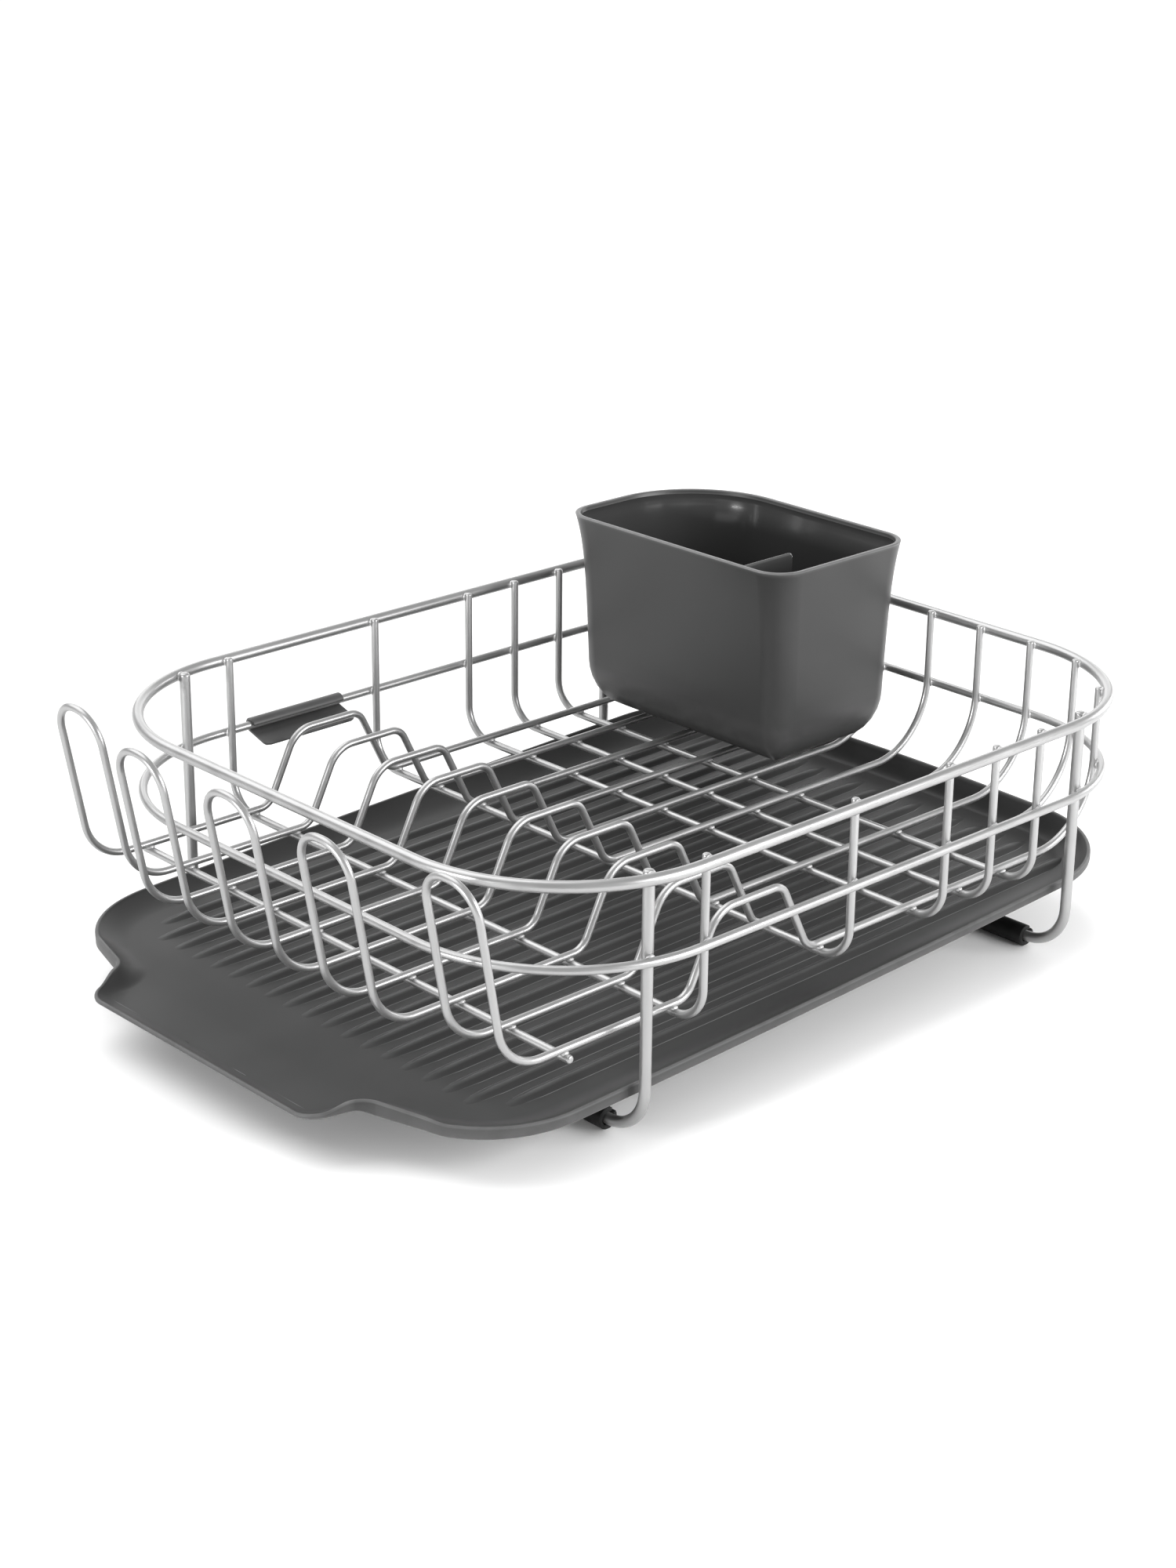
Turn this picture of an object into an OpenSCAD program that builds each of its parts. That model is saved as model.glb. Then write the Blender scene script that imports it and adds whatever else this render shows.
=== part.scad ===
/* [Basket] */
// Half the length of the top rim, along its centre line
basket_half_length = 227; // [200:1:260]
// Half the width of the top rim, along its centre line
basket_half_width = 186.5; // [170:0.5:210]
// Corner radius of the rim and of the rail below it
basket_corner_r = 92.5; // [85:0.5:110]
// Height of the top rim's centre line
rim_height = 139; // [125:1:160]
// Height of the lower rail's centre line
rail_height = 97.6; // [90:0.1:110]
// Height of the floor wires' centre line
floor_height = 58.5; // [55:0.5:70]

/* [Wires] */
// Diameter of the top rim wire
rim_d = 6; // [4:0.1:7]
// Diameter of the lower rail wire
rail_d = 4.6; // [3:0.1:6]
// Diameter of the two leg wires
leg_d = 5.8; // [4:0.1:7]
// Diameter of the cross wires
cross_d = 4.2; // [3:0.1:5]
// Diameter of the plate wires
plate_d = 4; // [3:0.1:5]
// Distance between neighbouring floor wires
wire_pitch = 36; // [34:0.5:38]

/* [Legs] */
// Diameter of a rubber foot sleeve
sleeve_d = 11.6; // [10:0.1:14]
// Length of a foot sleeve
sleeve_length = 46; // [30:1:60]
// Radius of the bend at the foot of a leg post
leg_bend_r = 24; // [18:1:30]

/* [Drain tray] */
// Slope of the tray's lip, falling towards the spout
tray_tilt = 1.87; // [0:0.01:2.5]
// Half the width of the tray
tray_half_width = 172; // [150:1:173]
// Length of the tray from its high end to the edge of the spout
tray_length = 522; // [480:1:530]
// Half the width of the spout's edge
spout_half_width = 88; // [60:1:90]
// Number of drying ribs on the tray's floor
tray_ribs = 19; // [9:2:19]

/* [Cutlery caddy] */
// Height of the caddy's rim above the counter
caddy_top = 184; // [160:1:200]
// Thickness of the caddy's walls
caddy_wall = 2.4; // [1.6:0.1:3]

/* [Hidden] */
$fn = 48;
// Sides of a swept wire, and the most that it turns from one ring to the next
sweep_sides = 12;
sweep_step = 13;

wire_grey = [0.78, 0.78, 0.79];
charcoal = [0.26, 0.27, 0.28];
rubber_black = [0.07, 0.07, 0.07];

// The basket stands off centre, so that the whole rack is centred on the origin
basket_x = 27.5;
// Depth to which welded wires sink into each other
weld_bite = 0.1;

// Places along X, measured from the middle of the basket
cross_x = [-126.5, -25, 45, 81, 116.5];
end_rod_x = -196.5;
end_rod_half_length = 167;
leg_x = [-159, 152];

// Heights of the wire ends and of the wires under the floor
wire_top = rim_height + 2.6;
cross_height = floor_height - (plate_d + cross_d) / 2 + weld_bite;
cross_bend_r = 18;
cross_half_width = basket_half_width - (rim_d + cross_d) / 2 + weld_bite;
rail_shift = (rim_d - rail_d) / 2;
bar_height = sleeve_d / 2 - 0.2;

// Plate wires: the bend up the basket's end, the plate divider and the hairpin
end_bend_r = 42;
hump_top = 98;
hump_left_foot = -117.5;
hump_left_top = -97.7;
hump_right_top = -53.5;
hump_right_foot = -33.7;
hump_foot_r = 11;
hump_left_r = 17;
hump_right_r = 10;
hairpin_foot = -246;
hairpin_bend_r = 26;
hairpin_lean = 10.3;
hairpin_height = 152.5;
hairpin_top_r = wire_pitch / 2 - 1;
// The two outer hairpins stand further in, where the basket's corners turn
outer_hairpin_shift = 13.5;

// Distance of an upright wire from a corner's centre, when it is welded inside the rim
plate_corner_r = basket_corner_r - (rim_d + plate_d) / 2 + weld_bite;
leg_corner_r = basket_corner_r - (rim_d + leg_d) / 2 + weld_bite;
corner_x = basket_half_length - basket_corner_r;
corner_y = basket_half_width - basket_corner_r;

// Tray, measured in the frame of its lip
tray_lip_height = 35.3;
tray_wall = 2.4;
tray_band = 5;
tray_side_slope = 21;
tray_end_slope = 45;
tray_end_r = 70;
tray_spout_end_r = 60;
tray_notch_r = 13;
tray_notch_turn = 10;
tray_neck_run = 18;
tray_spout_corner_r = 14;
tray_spout_reach = 92.5;
tray_spout_turn = 65;
tray_rib_pitch = 15.2;
tray_rib_r = 6;
tray_rib_rise = 1.5;
tray_rib_from_spout = 66.5;
tray_rib_from_end = 23.5;
tray_floor_mid = -8.8;
tray_floor_fall = 0.96;
tray_riser_half_width = 92;
tray_riser_gap = 0.4;

// Caddy, measured in the frame of the basket
caddy_floor = floor_height + plate_d / 2 + 0.3;
caddy_left = [112, 102];
caddy_right = [206, 214];
caddy_front = [-4, -10];
caddy_back = [157, 164];
caddy_corner_r = 14;
caddy_big_corner_r = [56, 62];
caddy_fillet_r = 25;
caddy_fin_x = 153;
caddy_fin_y = 28;
caddy_fin_top = 180;
caddy_fin_wall = 1.8;
caddy_drain_d = 6;

function unit(v) = v / norm(v);
function turn_angle(a, b, c) = acos(max(-1, min(1, unit(b - a) * unit(c - b))));

// How far a bend at point i reaches along the two straights that meet there
function setback(p, r, i) =
    i == 0 || i == len(p) - 1 ? 0 : r[i] * tan(turn_angle(p[i - 1], p[i], p[i + 1]) / 2);

module straight(a, b, d) {
    v = b - a;
    translate(a)
        rotate([0, atan2(norm([v.x, v.y]), v.z), atan2(v.y, v.x)])
            cylinder(h = norm(v), d = d);
}

// A round bend of radius r at point b, between the straights a-b and b-c
module bend(a, b, c, r, d) {
    travel = unit(b - a);
    leaving = unit(c - b);
    inward = unit(leaving - (travel * leaving) * travel);
    outward = -inward;
    spin = cross(outward, travel);
    angle = turn_angle(a, b, c);
    centre = b - travel * r * tan(angle / 2) + inward * r;
    multmatrix([
        [outward.x, travel.x, spin.x, centre.x],
        [outward.y, travel.y, spin.y, centre.y],
        [outward.z, travel.z, spin.z, centre.z],
        [0, 0, 0, 1]
    ])
        rotate_extrude(angle = angle)
            translate([r, 0])
                circle(d = d);
}

// One wire along the points p, with a bend of radius r[i] at each inner point
module bent_wire(p, r, d) {
    for (i = [0 : len(p) - 2]) {
        along = unit(p[i + 1] - p[i]);
        straight(p[i] + along * setback(p, r, i), p[i + 1] - along * setback(p, r, i + 1), d);
    }
    for (i = [1 : len(p) - 2]) {
        bend(p[i - 1], p[i], p[i + 1], r[i], d);
    }
}

// A closed wire in the plan of the basket, shrunk by the given amount
module basket_loop(height, shrink, d) {
    r = basket_corner_r - shrink;
    translate([basket_x, 0, height]) {
        for (sx = [-1, 1]) {
            straight([sx * (corner_x + r), -corner_y, 0], [sx * (corner_x + r), corner_y, 0], d);
        }
        for (sy = [-1, 1]) {
            straight([-corner_x, sy * (corner_y + r), 0], [corner_x, sy * (corner_y + r), 0], d);
        }
        for (corner = [[1, 1, 0], [-1, 1, 90], [-1, -1, 180], [1, -1, 270]]) {
            translate([corner[0] * corner_x, corner[1] * corner_y, 0])
                rotate([0, 0, corner[2]])
                    rotate_extrude(angle = 90)
                        translate([r, 0])
                            circle(d = d);
        }
    }
}

module top_rim() {
    color(wire_grey) basket_loop(rim_height, 0, rim_d);
}

module lower_rail() {
    color(wire_grey) basket_loop(rail_height, rail_shift, rail_d);
}

// A U-shaped wire down the front wall, under the floor wires and up the back wall
module cross_wire(x) {
    w = cross_half_width;
    color(wire_grey)
        translate([basket_x + x, 0, 0])
            bent_wire(
                [[0, -w, wire_top], [0, -w, cross_height], [0, w, cross_height], [0, w, wire_top]],
                [0, cross_bend_r, cross_bend_r, 0],
                cross_d
            );
}

module end_cross_rod() {
    color(wire_grey)
        translate([basket_x + end_rod_x, 0, 0])
            straight([0, -end_rod_half_length, cross_height], [0, end_rod_half_length, cross_height], cross_d);
}

function plate_y(i) = (5.5 - i) * wire_pitch;

// Where the wire on line y comes up inside the rim at the basket's end
function plate_end_x(y) =
    abs(y) <= corner_y
        ? corner_x + plate_corner_r
        : corner_x + sqrt(pow(plate_corner_r, 2) - pow(abs(y) - corner_y, 2));

// One half of a plate wire, from its end at the rim to the foot of its hairpin
function plate_half(y, shift) = [
    [plate_end_x(y), y, wire_top],
    [plate_end_x(y), y, floor_height],
    [hump_right_foot, y, floor_height],
    [hump_right_top, y, hump_top],
    [hump_left_top, y, hump_top],
    [hump_left_foot, y, floor_height],
    [hairpin_foot + shift, y, floor_height],
    [hairpin_foot + shift - (hairpin_height - floor_height) * tan(hairpin_lean), y, hairpin_height]
];
plate_bends = [0, end_bend_r, hump_foot_r, hump_right_r, hump_left_r, hump_foot_r, hairpin_bend_r, hairpin_top_r];

function reversed(v) = [for (i = [len(v) - 1 : -1 : 0]) v[i]];

// The points of a rounded corner at b, from the straight a-b to the straight b-c
function corner_points(a, b, c, r) =
    let (
        travel = unit(b - a),
        leaving = unit(c - b),
        angle = turn_angle(a, b, c),
        inward = unit(leaving - (travel * leaving) * travel),
        centre = b - travel * r * tan(angle / 2) + inward * r,
        steps = ceil(angle / sweep_step)
    )
    [for (k = [0 : steps]) centre + r * (travel * sin(angle * k / steps) - inward * cos(angle * k / steps))];

function rounded_path(p, r) = concat(
    [p[0]],
    [for (i = [1 : len(p) - 2]) each corner_points(p[i - 1], p[i], p[i + 1], r[i])],
    [p[len(p) - 1]]
);

// Direction of travel at each point of a path, halfway between its two neighbours
function path_direction(p, i) =
    i == 0 ? unit(p[1] - p[0]) :
    i == len(p) - 1 ? unit(p[i] - p[i - 1]) :
    unit(unit(p[i + 1] - p[i]) + unit(p[i] - p[i - 1]));

// A side vector carried along the path without twisting
function path_sides(t, i, n, out) =
    i == len(t) ? out :
    let (m = unit(n - (n * t[i]) * t[i])) path_sides(t, i + 1, m, concat(out, [m]));

// A wire swept along a path that turns in more than one plane
module swept_wire(path, d) {
    last = len(path) - 1;
    t = [for (i = [0 : last]) path_direction(path, i)];
    n = path_sides(t, 0, [0, 1, 0], []);
    ring = [
        for (i = [0 : last], j = [0 : sweep_sides - 1])
            let (a = 360 * j / sweep_sides) path[i] + d / 2 * (n[i] * cos(a) + cross(t[i], n[i]) * sin(a))
    ];
    walls = [
        for (i = [0 : last - 1], j = [0 : sweep_sides - 1])
            let (k = (j + 1) % sweep_sides, near = i * sweep_sides, far = near + sweep_sides)
            each [[near + j, far + j, far + k], [near + j, far + k, near + k]]
    ];
    near_end = [for (j = [0 : sweep_sides - 1]) j];
    far_end = [for (j = [sweep_sides - 1 : -1 : 0]) last * sweep_sides + j];
    polyhedron(points = ring, faces = concat([near_end], walls, [far_end]));
}

// A floor wire pair joined by an upright hairpin, with a plate divider on each floor run
module plate_wire(n) {
    y = plate_y(2 * n - 1);
    shift = n == 1 || n == 5 ? outer_hairpin_shift : 0;
    corners = concat(plate_half(y, shift), reversed(plate_half(y - wire_pitch, shift)));
    bends = concat(plate_bends, reversed(plate_bends));
    color(wire_grey)
        translate([basket_x, 0, 0])
            swept_wire(rounded_path(corners, bends), plate_d);
}

// Where a leg post stands inside the rim's corner
function leg_y(x) = corner_y + sqrt(pow(leg_corner_r, 2) - pow(abs(x) - corner_x, 2));

module leg_wire(x) {
    y = leg_y(x);
    color(wire_grey)
        translate([basket_x + x, 0, 0])
            bent_wire(
                [[0, -y, wire_top], [0, -y, bar_height], [0, y, bar_height], [0, y, wire_top]],
                [0, leg_bend_r, leg_bend_r, 0],
                leg_d
            );
}

// A rubber tube on the end of a bar, slit along its upper side and flat where it rests
module foot_sleeve(x, side) {
    bore_d = leg_d + 0.1;
    slit = 1.6;
    outer_end = leg_y(x) - leg_bend_r;
    color(rubber_black)
        translate([basket_x + x, side * (outer_end - sleeve_length / 2), 0])
            difference() {
                translate([0, 0, bar_height])
                    rotate([90, 0, 0])
                        cylinder(h = sleeve_length, d = sleeve_d, center = true);
                translate([0, 0, bar_height])
                    rotate([90, 0, 0])
                        cylinder(h = sleeve_length + 2, d = bore_d, center = true);
                translate([0, 0, bar_height])
                    rotate([0, 45, 0])
                        translate([-slit / 2, -sleeve_length, 0])
                            cube([slit, 2 * sleeve_length, sleeve_d]);
                translate([-sleeve_d, -sleeve_length, -sleeve_d])
                    cube([2 * sleeve_d, 2 * sleeve_length, sleeve_d]);
            }
}

// The clip's section: a roll that is open towards the basket, and a flap from its foot
module clip_section(inner_r, wall, length, drop) {
    outer_r = inner_r + wall;
    roll_opening = 150;
    roll_foot = 160;
    flap_wall = wall - 0.3;
    flap_root = 0.4;
    flap_inset = 0.1;
    difference() {
        circle(r = outer_r);
        circle(r = inner_r);
        for (turn = [roll_opening, roll_foot + drop]) {
            rotate([0, 0, turn])
                square(2 * outer_r);
        }
    }
    rotate([0, 0, drop])
        translate([-length, flap_inset - outer_r])
            square([length + flap_root, flap_wall]);
}

// A rolled plastic clip that grips the back of the rail, with a flat flap into the basket
module rail_clip() {
    clip_x = -111;
    clip_length = 63;
    clip_wall = 1.7;
    clip_gap = 0.1;
    flap_length = 17;
    flap_drop = 17;
    corner_cut = 3 * sqrt(2);
    color(charcoal)
        translate([basket_x + clip_x, basket_half_width - rail_shift, rail_height])
            difference() {
                rotate([90, 0, 90])
                    linear_extrude(clip_length)
                        clip_section(rail_d / 2 + clip_gap, clip_wall, flap_length, flap_drop);
                for (x = [0, clip_length]) {
                    rotate([flap_drop, 0, 0])
                        translate([x, -flap_length, 0])
                            rotate([0, 0, 45])
                                cube([corner_cut, corner_cut, 20], center = true);
                }
            }
}

function arc(cx, cy, r, a0, a1, steps) = [
    for (k = [0 : steps]) [cx + r * cos(a0 + (a1 - a0) * k / steps), cy + r * sin(a0 + (a1 - a0) * k / steps)]
];

// The back half of the tray's outline, from the high end round to the spout, drawn in by t
tray_high_end = tray_length / 2;
tray_corner_c = [tray_high_end - tray_end_r, tray_half_width - tray_end_r];
spout_corner_c = [-tray_high_end + tray_spout_reach, tray_half_width - tray_spout_end_r];
notch_out = [-cos(tray_notch_turn), sin(tray_notch_turn)];
notch_c = spout_corner_c + (tray_spout_end_r + tray_notch_r) * notch_out
    + tray_neck_run * [-notch_out.y, notch_out.x];
notch_end = notch_c + tray_notch_r * [cos(-tray_spout_turn), sin(-tray_spout_turn)];
spout_normal = [-cos(tray_spout_turn), sin(tray_spout_turn)];

function tray_half_outline(t) =
    let (
        r = tray_spout_corner_r - t,
        cx = -tray_high_end + tray_spout_corner_r,
        cy = (notch_end * spout_normal - tray_spout_corner_r - cx * spout_normal.x) / spout_normal.y
    )
    concat(
        arc(tray_corner_c.x, tray_corner_c.y, tray_end_r - t, 0, 90, 12),
        arc(spout_corner_c.x, spout_corner_c.y, tray_spout_end_r - t, 90, 180 - tray_notch_turn, 12),
        arc(notch_c.x, notch_c.y, tray_notch_r + t, -tray_notch_turn, -tray_spout_turn, 8),
        arc(cx, cy, r, 180 - tray_spout_turn, 180, 6)
    );

module tray_plan(t) {
    half = tray_half_outline(t);
    polygon(concat(half, [for (p = reversed(half)) [p.x, -p.y]]));
}

// Everything between two heights above the tray's sloping floor plane
module tray_floor_slab(low, high) {
    translate([0, 0, tray_floor_mid])
        rotate([0, tray_floor_fall, 0])
            translate([-tray_length, -tray_half_width - 5, low])
                cube([2 * tray_length, 2 * tray_half_width + 10, high - low]);
}

// Everything above one of the dish's sloping walls, which starts at its outer edge
module above_tray_wall(slope, t) {
    reach = 2 * tray_length;
    translate([0, 0, t / cos(slope) - tray_band])
        rotate([0, -slope, 0])
            translate([-reach, -reach / 2, 0])
                cube([reach + 40, reach, reach]);
}

// The dish between its sloping walls, drawn in by t all over
module tray_dish(t, top) {
    intersection() {
        translate([0, 0, -30])
            linear_extrude(30 + top)
                tray_plan(t);
        tray_floor_slab(t - tray_wall, 40);
        translate([tray_high_end, 0, 0])
            above_tray_wall(tray_end_slope, t);
        rotate([0, 0, 90])
            translate([tray_half_width, 0, 0])
                above_tray_wall(tray_side_slope, t);
        rotate([0, 0, -90])
            translate([tray_half_width, 0, 0])
                above_tray_wall(tray_side_slope, t);
    }
}

module tray_floor_ribs() {
    rib_left = -tray_high_end + tray_rib_from_spout;
    rib_right = tray_high_end - tray_rib_from_end;
    intersection() {
        translate([0, 0, tray_floor_mid])
            rotate([0, tray_floor_fall, 0])
                for (k = [0 : tray_ribs - 1]) {
                    translate([rib_left, (k - (tray_ribs - 1) / 2) * tray_rib_pitch, tray_rib_rise - tray_rib_r])
                        rotate([0, 90, 0])
                            cylinder(h = rib_right - rib_left, r = tray_rib_r);
                }
        tray_floor_slab(-tray_wall / 2, 4);
    }
}

// Upright plates under the floor, which hold the tray at its slope on the two bars
module tray_riser(bar_x) {
    bar_top = bar_height + leg_d / 2;
    translate([basket_x + bar_x - 1.5, -tray_riser_half_width, bar_top + tray_riser_gap])
        cube([3, 2 * tray_riser_half_width, tray_lip_height - bar_top]);
}

module drain_tray() {
    spout_cut = 2 * spout_half_width;
    color(charcoal) {
        translate([0, 0, tray_lip_height])
            rotate([0, -tray_tilt, 0]) {
                difference() {
                    tray_dish(0, 0);
                    tray_dish(tray_wall, 1);
                    // the spout's edge stands lower than the lip
                    translate([-tray_high_end - 1, -spout_cut / 2 + 14, -2])
                        cube([12, spout_cut - 28, 4]);
                }
                tray_floor_ribs();
            }
        intersection() {
            union() {
                tray_riser(leg_x[0]);
                tray_riser(leg_x[1]);
            }
            translate([0, 0, tray_lip_height])
                rotate([0, -tray_tilt, 0])
                    tray_floor_slab(-40, -tray_wall / 2);
        }
    }
}

function blend(pair, k) = pair[0] + (pair[1] - pair[0]) * k;

// One thin slice of the caddy at height z, drawn in by t
module caddy_slice(z, t) {
    k = (z - caddy_floor) / (caddy_top - caddy_floor);
    small = max(1, caddy_corner_r - t);
    big = blend(caddy_big_corner_r, k) - t;
    left = blend(caddy_left, k) + t;
    right = blend(caddy_right, k) - t;
    front = blend(caddy_front, k) + t;
    back = blend(caddy_back, k) - t;
    translate([basket_x, 0, z]) {
        for (c = [[left + small, front + small], [right - small, front + small], [left + small, back - small]]) {
            translate(c) cylinder(h = 0.01, r = small, $fn = 32);
        }
        translate([right - big, back - big]) rotate_extrude(angle = 90, $fn = 64) square([big, 0.01]);
    }
}

// The caddy's closed form, with a rounded foot, drawn in by t all over
module caddy_form(t, top) {
    fillet = caddy_fillet_r - t;
    hull() {
        for (a = [0 : 15 : 90]) {
            caddy_slice(caddy_floor + t + fillet * (1 - sin(a)), t + fillet * (1 - cos(a)));
        }
        caddy_slice(top, t);
    }
}

module cutlery_caddy() {
    drain_x = [140, 160, 180];
    drain_y = [18, 46, 72, 98, 124];
    color(charcoal) {
        difference() {
            caddy_form(0, caddy_top - 0.01);
            caddy_form(caddy_wall, caddy_top + 1);
            for (x = drain_x, y = drain_y) {
                translate([basket_x + x, y, caddy_floor - 1])
                    cylinder(h = caddy_wall + 2, d = caddy_drain_d);
            }
        }
        intersection() {
            translate([basket_x, caddy_fin_y - caddy_fin_wall / 2, caddy_floor + 1])
                cube([caddy_fin_x, caddy_fin_wall, caddy_fin_top - caddy_floor - 1]);
            caddy_form(caddy_wall / 2, caddy_top);
        }
    }
}

top_rim();
lower_rail();
cross_wire(cross_x[0]);  // cross_wire_1
cross_wire(cross_x[1]);  // cross_wire_2
cross_wire(cross_x[2]);  // cross_wire_3
cross_wire(cross_x[3]);  // cross_wire_4
cross_wire(cross_x[4]);  // cross_wire_5
end_cross_rod();
plate_wire(1);  // plate_wire_1
plate_wire(2);  // plate_wire_2
plate_wire(3);  // plate_wire_3
plate_wire(4);  // plate_wire_4
plate_wire(5);  // plate_wire_5
leg_wire(leg_x[0]);  // left_leg_wire
leg_wire(leg_x[1]);  // right_leg_wire
foot_sleeve(leg_x[0], -1);  // foot_sleeve_front_left
foot_sleeve(leg_x[0], 1);  // foot_sleeve_back_left
foot_sleeve(leg_x[1], -1);  // foot_sleeve_front_right
foot_sleeve(leg_x[1], 1);  // foot_sleeve_back_right
rail_clip();
drain_tray();
cutlery_caddy();
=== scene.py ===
"""Dish drying rack: coated wire basket, spouted drain tray, cutlery caddy and rail clip."""

import math

import bmesh
import bpy
from mathutils import Matrix, Vector


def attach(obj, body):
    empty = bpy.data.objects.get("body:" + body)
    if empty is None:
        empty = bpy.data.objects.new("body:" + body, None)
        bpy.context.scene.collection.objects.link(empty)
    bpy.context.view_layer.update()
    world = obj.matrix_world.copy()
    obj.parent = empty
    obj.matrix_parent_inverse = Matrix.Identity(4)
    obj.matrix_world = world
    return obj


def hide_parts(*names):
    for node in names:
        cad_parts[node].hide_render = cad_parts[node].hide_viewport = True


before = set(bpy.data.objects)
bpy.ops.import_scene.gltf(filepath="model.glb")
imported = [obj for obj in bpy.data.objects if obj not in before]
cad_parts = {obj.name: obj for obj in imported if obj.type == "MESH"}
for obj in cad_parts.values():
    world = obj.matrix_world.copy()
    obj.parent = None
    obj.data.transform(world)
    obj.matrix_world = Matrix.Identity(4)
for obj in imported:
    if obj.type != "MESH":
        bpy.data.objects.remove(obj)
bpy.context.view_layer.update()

MM = 0.001

# Sizes repeated from the part's source, in millimetres
BASKET_X = 27.5
BASKET_LENGTH_HALF = 227.0
BASKET_WIDTH_HALF = 186.5
BASKET_CORNER_R = 92.5
RIM_Z = 139.0
RAIL_Z = 97.6
FLOOR_Z = 58.5
RIM_D = 6.0
RAIL_D = 4.6
LEG_D = 5.8
CROSS_D = 4.2
PLATE_D = 4.0
WIRE_PITCH = 36.0
WELD_BITE = 0.1
CROSS_X = (-126.5, -25.0, 45.0, 81.0, 116.5)
END_ROD_X = -196.5
END_ROD_HALF = 167.0
LEG_X = (-159.0, 152.0)
WIRE_TOP = RIM_Z + 2.6
CROSS_Z = FLOOR_Z - (PLATE_D + CROSS_D) / 2 + WELD_BITE
CROSS_HALF = BASKET_WIDTH_HALF - (RIM_D + CROSS_D) / 2 + WELD_BITE
RAIL_SHIFT = (RIM_D - RAIL_D) / 2
BAR_Z = 5.6
CORNER_X = BASKET_LENGTH_HALF - BASKET_CORNER_R
CORNER_Y = BASKET_WIDTH_HALF - BASKET_CORNER_R
CROSS_BEND = 18.0
LEG_BEND = 24.0

# Closeness in metres at which points merge, and at which an edge is a sliver
MERGE_WITHIN = 1e-6
SLIVER_WITHIN = 1e-7


# ---- shared mesh helpers


def add_object(name, data):
    """A mesh, lamp or camera put into the scene."""
    thing = bpy.data.objects.new(name, data)
    bpy.context.scene.collection.objects.link(thing)
    return thing


def finish_mesh(mesh, smooth_angle):
    """Smooth shading up to an angle, sharp beyond it."""
    for polygon in mesh.polygons:
        polygon.use_smooth = True
    mesh.set_sharp_from_angle(angle=math.radians(smooth_angle))


def cleaned_mesh(name, points, faces, merge=True):
    """A mesh from points in millimetres, with its doubles merged and its faces outwards."""
    mesh = bpy.data.meshes.new(name)
    mesh.from_pydata([Vector(p) * MM for p in points], [], faces)
    work = bmesh.new()
    work.from_mesh(mesh)
    if merge:
        bmesh.ops.remove_doubles(work, verts=work.verts, dist=MERGE_WITHIN)
        bmesh.ops.dissolve_degenerate(work, edges=work.edges, dist=SLIVER_WITHIN)
    bmesh.ops.recalc_face_normals(work, faces=work.faces)
    work.to_mesh(mesh)
    work.free()
    return mesh


def baked_mesh(thing, name):
    """The plain mesh that an object's modifiers make."""
    depsgraph = bpy.context.evaluated_depsgraph_get()
    mesh = bpy.data.meshes.new_from_object(thing.evaluated_get(depsgraph))
    mesh.name = name
    return mesh


def new_piece(name, points, faces, material, body, nodes=(), smooth_angle=40):
    """A finished piece from points in millimetres, riding on its body."""
    mesh = cleaned_mesh(name, points, faces)
    finish_mesh(mesh, smooth_angle)
    mesh.materials.append(material)
    settle(add_object(name, mesh), body, nodes)


def settle(piece, body, nodes=()):
    """Puts a piece on its body, and hides the model's parts that it stands for."""
    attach(piece, body)
    if nodes:
        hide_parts(*nodes)


def ring_faces(rings, count, base=0):
    """Quads between successive rings of the same number of points."""
    faces = []
    for near in range(base, base + (rings - 1) * count, count):
        far = near + count
        for i in range(count):
            j = (i + 1) % count
            faces.append((near + i, near + j, far + j, far + i))
    return faces


def capped_faces(rings, count, base=0):
    """Ring faces with a flat cap on the first ring and on the last."""
    last = base + (rings - 1) * count
    caps = [tuple(reversed(range(base, base + count))), tuple(range(last, last + count))]
    return ring_faces(rings, count, base) + caps


def sheet_faces(rings, count):
    """Ring faces of a thin section drawn out and back, with its two ends closed across."""
    faces = ring_faces(rings, count)
    for start in (0, (rings - 1) * count):
        for k in range(count // 2 - 1):
            mate = start + count - 1 - k
            faces.append((start + k, start + k + 1, mate - 1, mate))
    return faces


def new_tree(name, inputs):
    """An empty Geometry Nodes tree with a geometry input and output and named inputs."""
    tree = bpy.data.node_groups.new(name, "GeometryNodeTree")
    tree.interface.new_socket("Geometry", in_out="INPUT", socket_type="NodeSocketGeometry")
    for label, kind in inputs:
        tree.interface.new_socket(label, in_out="INPUT", socket_type="NodeSocket" + kind)
    tree.interface.new_socket("Geometry", in_out="OUTPUT", socket_type="NodeSocketGeometry")
    group_in = tree.nodes.new("NodeGroupInput")
    group_out = tree.nodes.new("NodeGroupOutput")
    return tree, group_in, group_out


def close_tree(tree, g_in, g_out, geometry):
    """Ends a tree in real geometry that wears the finish given to it."""
    realize = tree.nodes.new("GeometryNodeRealizeInstances")
    tree.links.new(geometry, realize.inputs["Geometry"])
    paint = tree.nodes.new("GeometryNodeSetMaterial")
    tree.links.new(realize.outputs["Geometry"], paint.inputs["Geometry"])
    tree.links.new(g_in.outputs["Finish"], paint.inputs["Material"])
    tree.links.new(paint.outputs["Geometry"], g_out.inputs["Geometry"])


def point_value(tree, name, kind):
    """A value stored on the points under a name."""
    node = tree.nodes.new("GeometryNodeInputNamedAttribute")
    node.data_type = kind
    node.inputs["Name"].default_value = name
    return node.outputs["Attribute"]


def grow(name, mesh, tree, values):
    """Runs a tree on a mesh once, and returns the result as an object with a plain mesh."""
    source = add_object(name, mesh)
    modifier = source.modifiers.new("Grow", "NODES")
    modifier.node_group = tree
    for item in tree.interface.items_tree:
        if item.item_type == "SOCKET" and item.in_out == "INPUT" and item.name in values:
            modifier[item.identifier] = values[item.name]
    made = baked_mesh(source, name)
    source.modifiers.remove(modifier)
    source.data = made
    return source


# ---- shader effects


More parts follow.
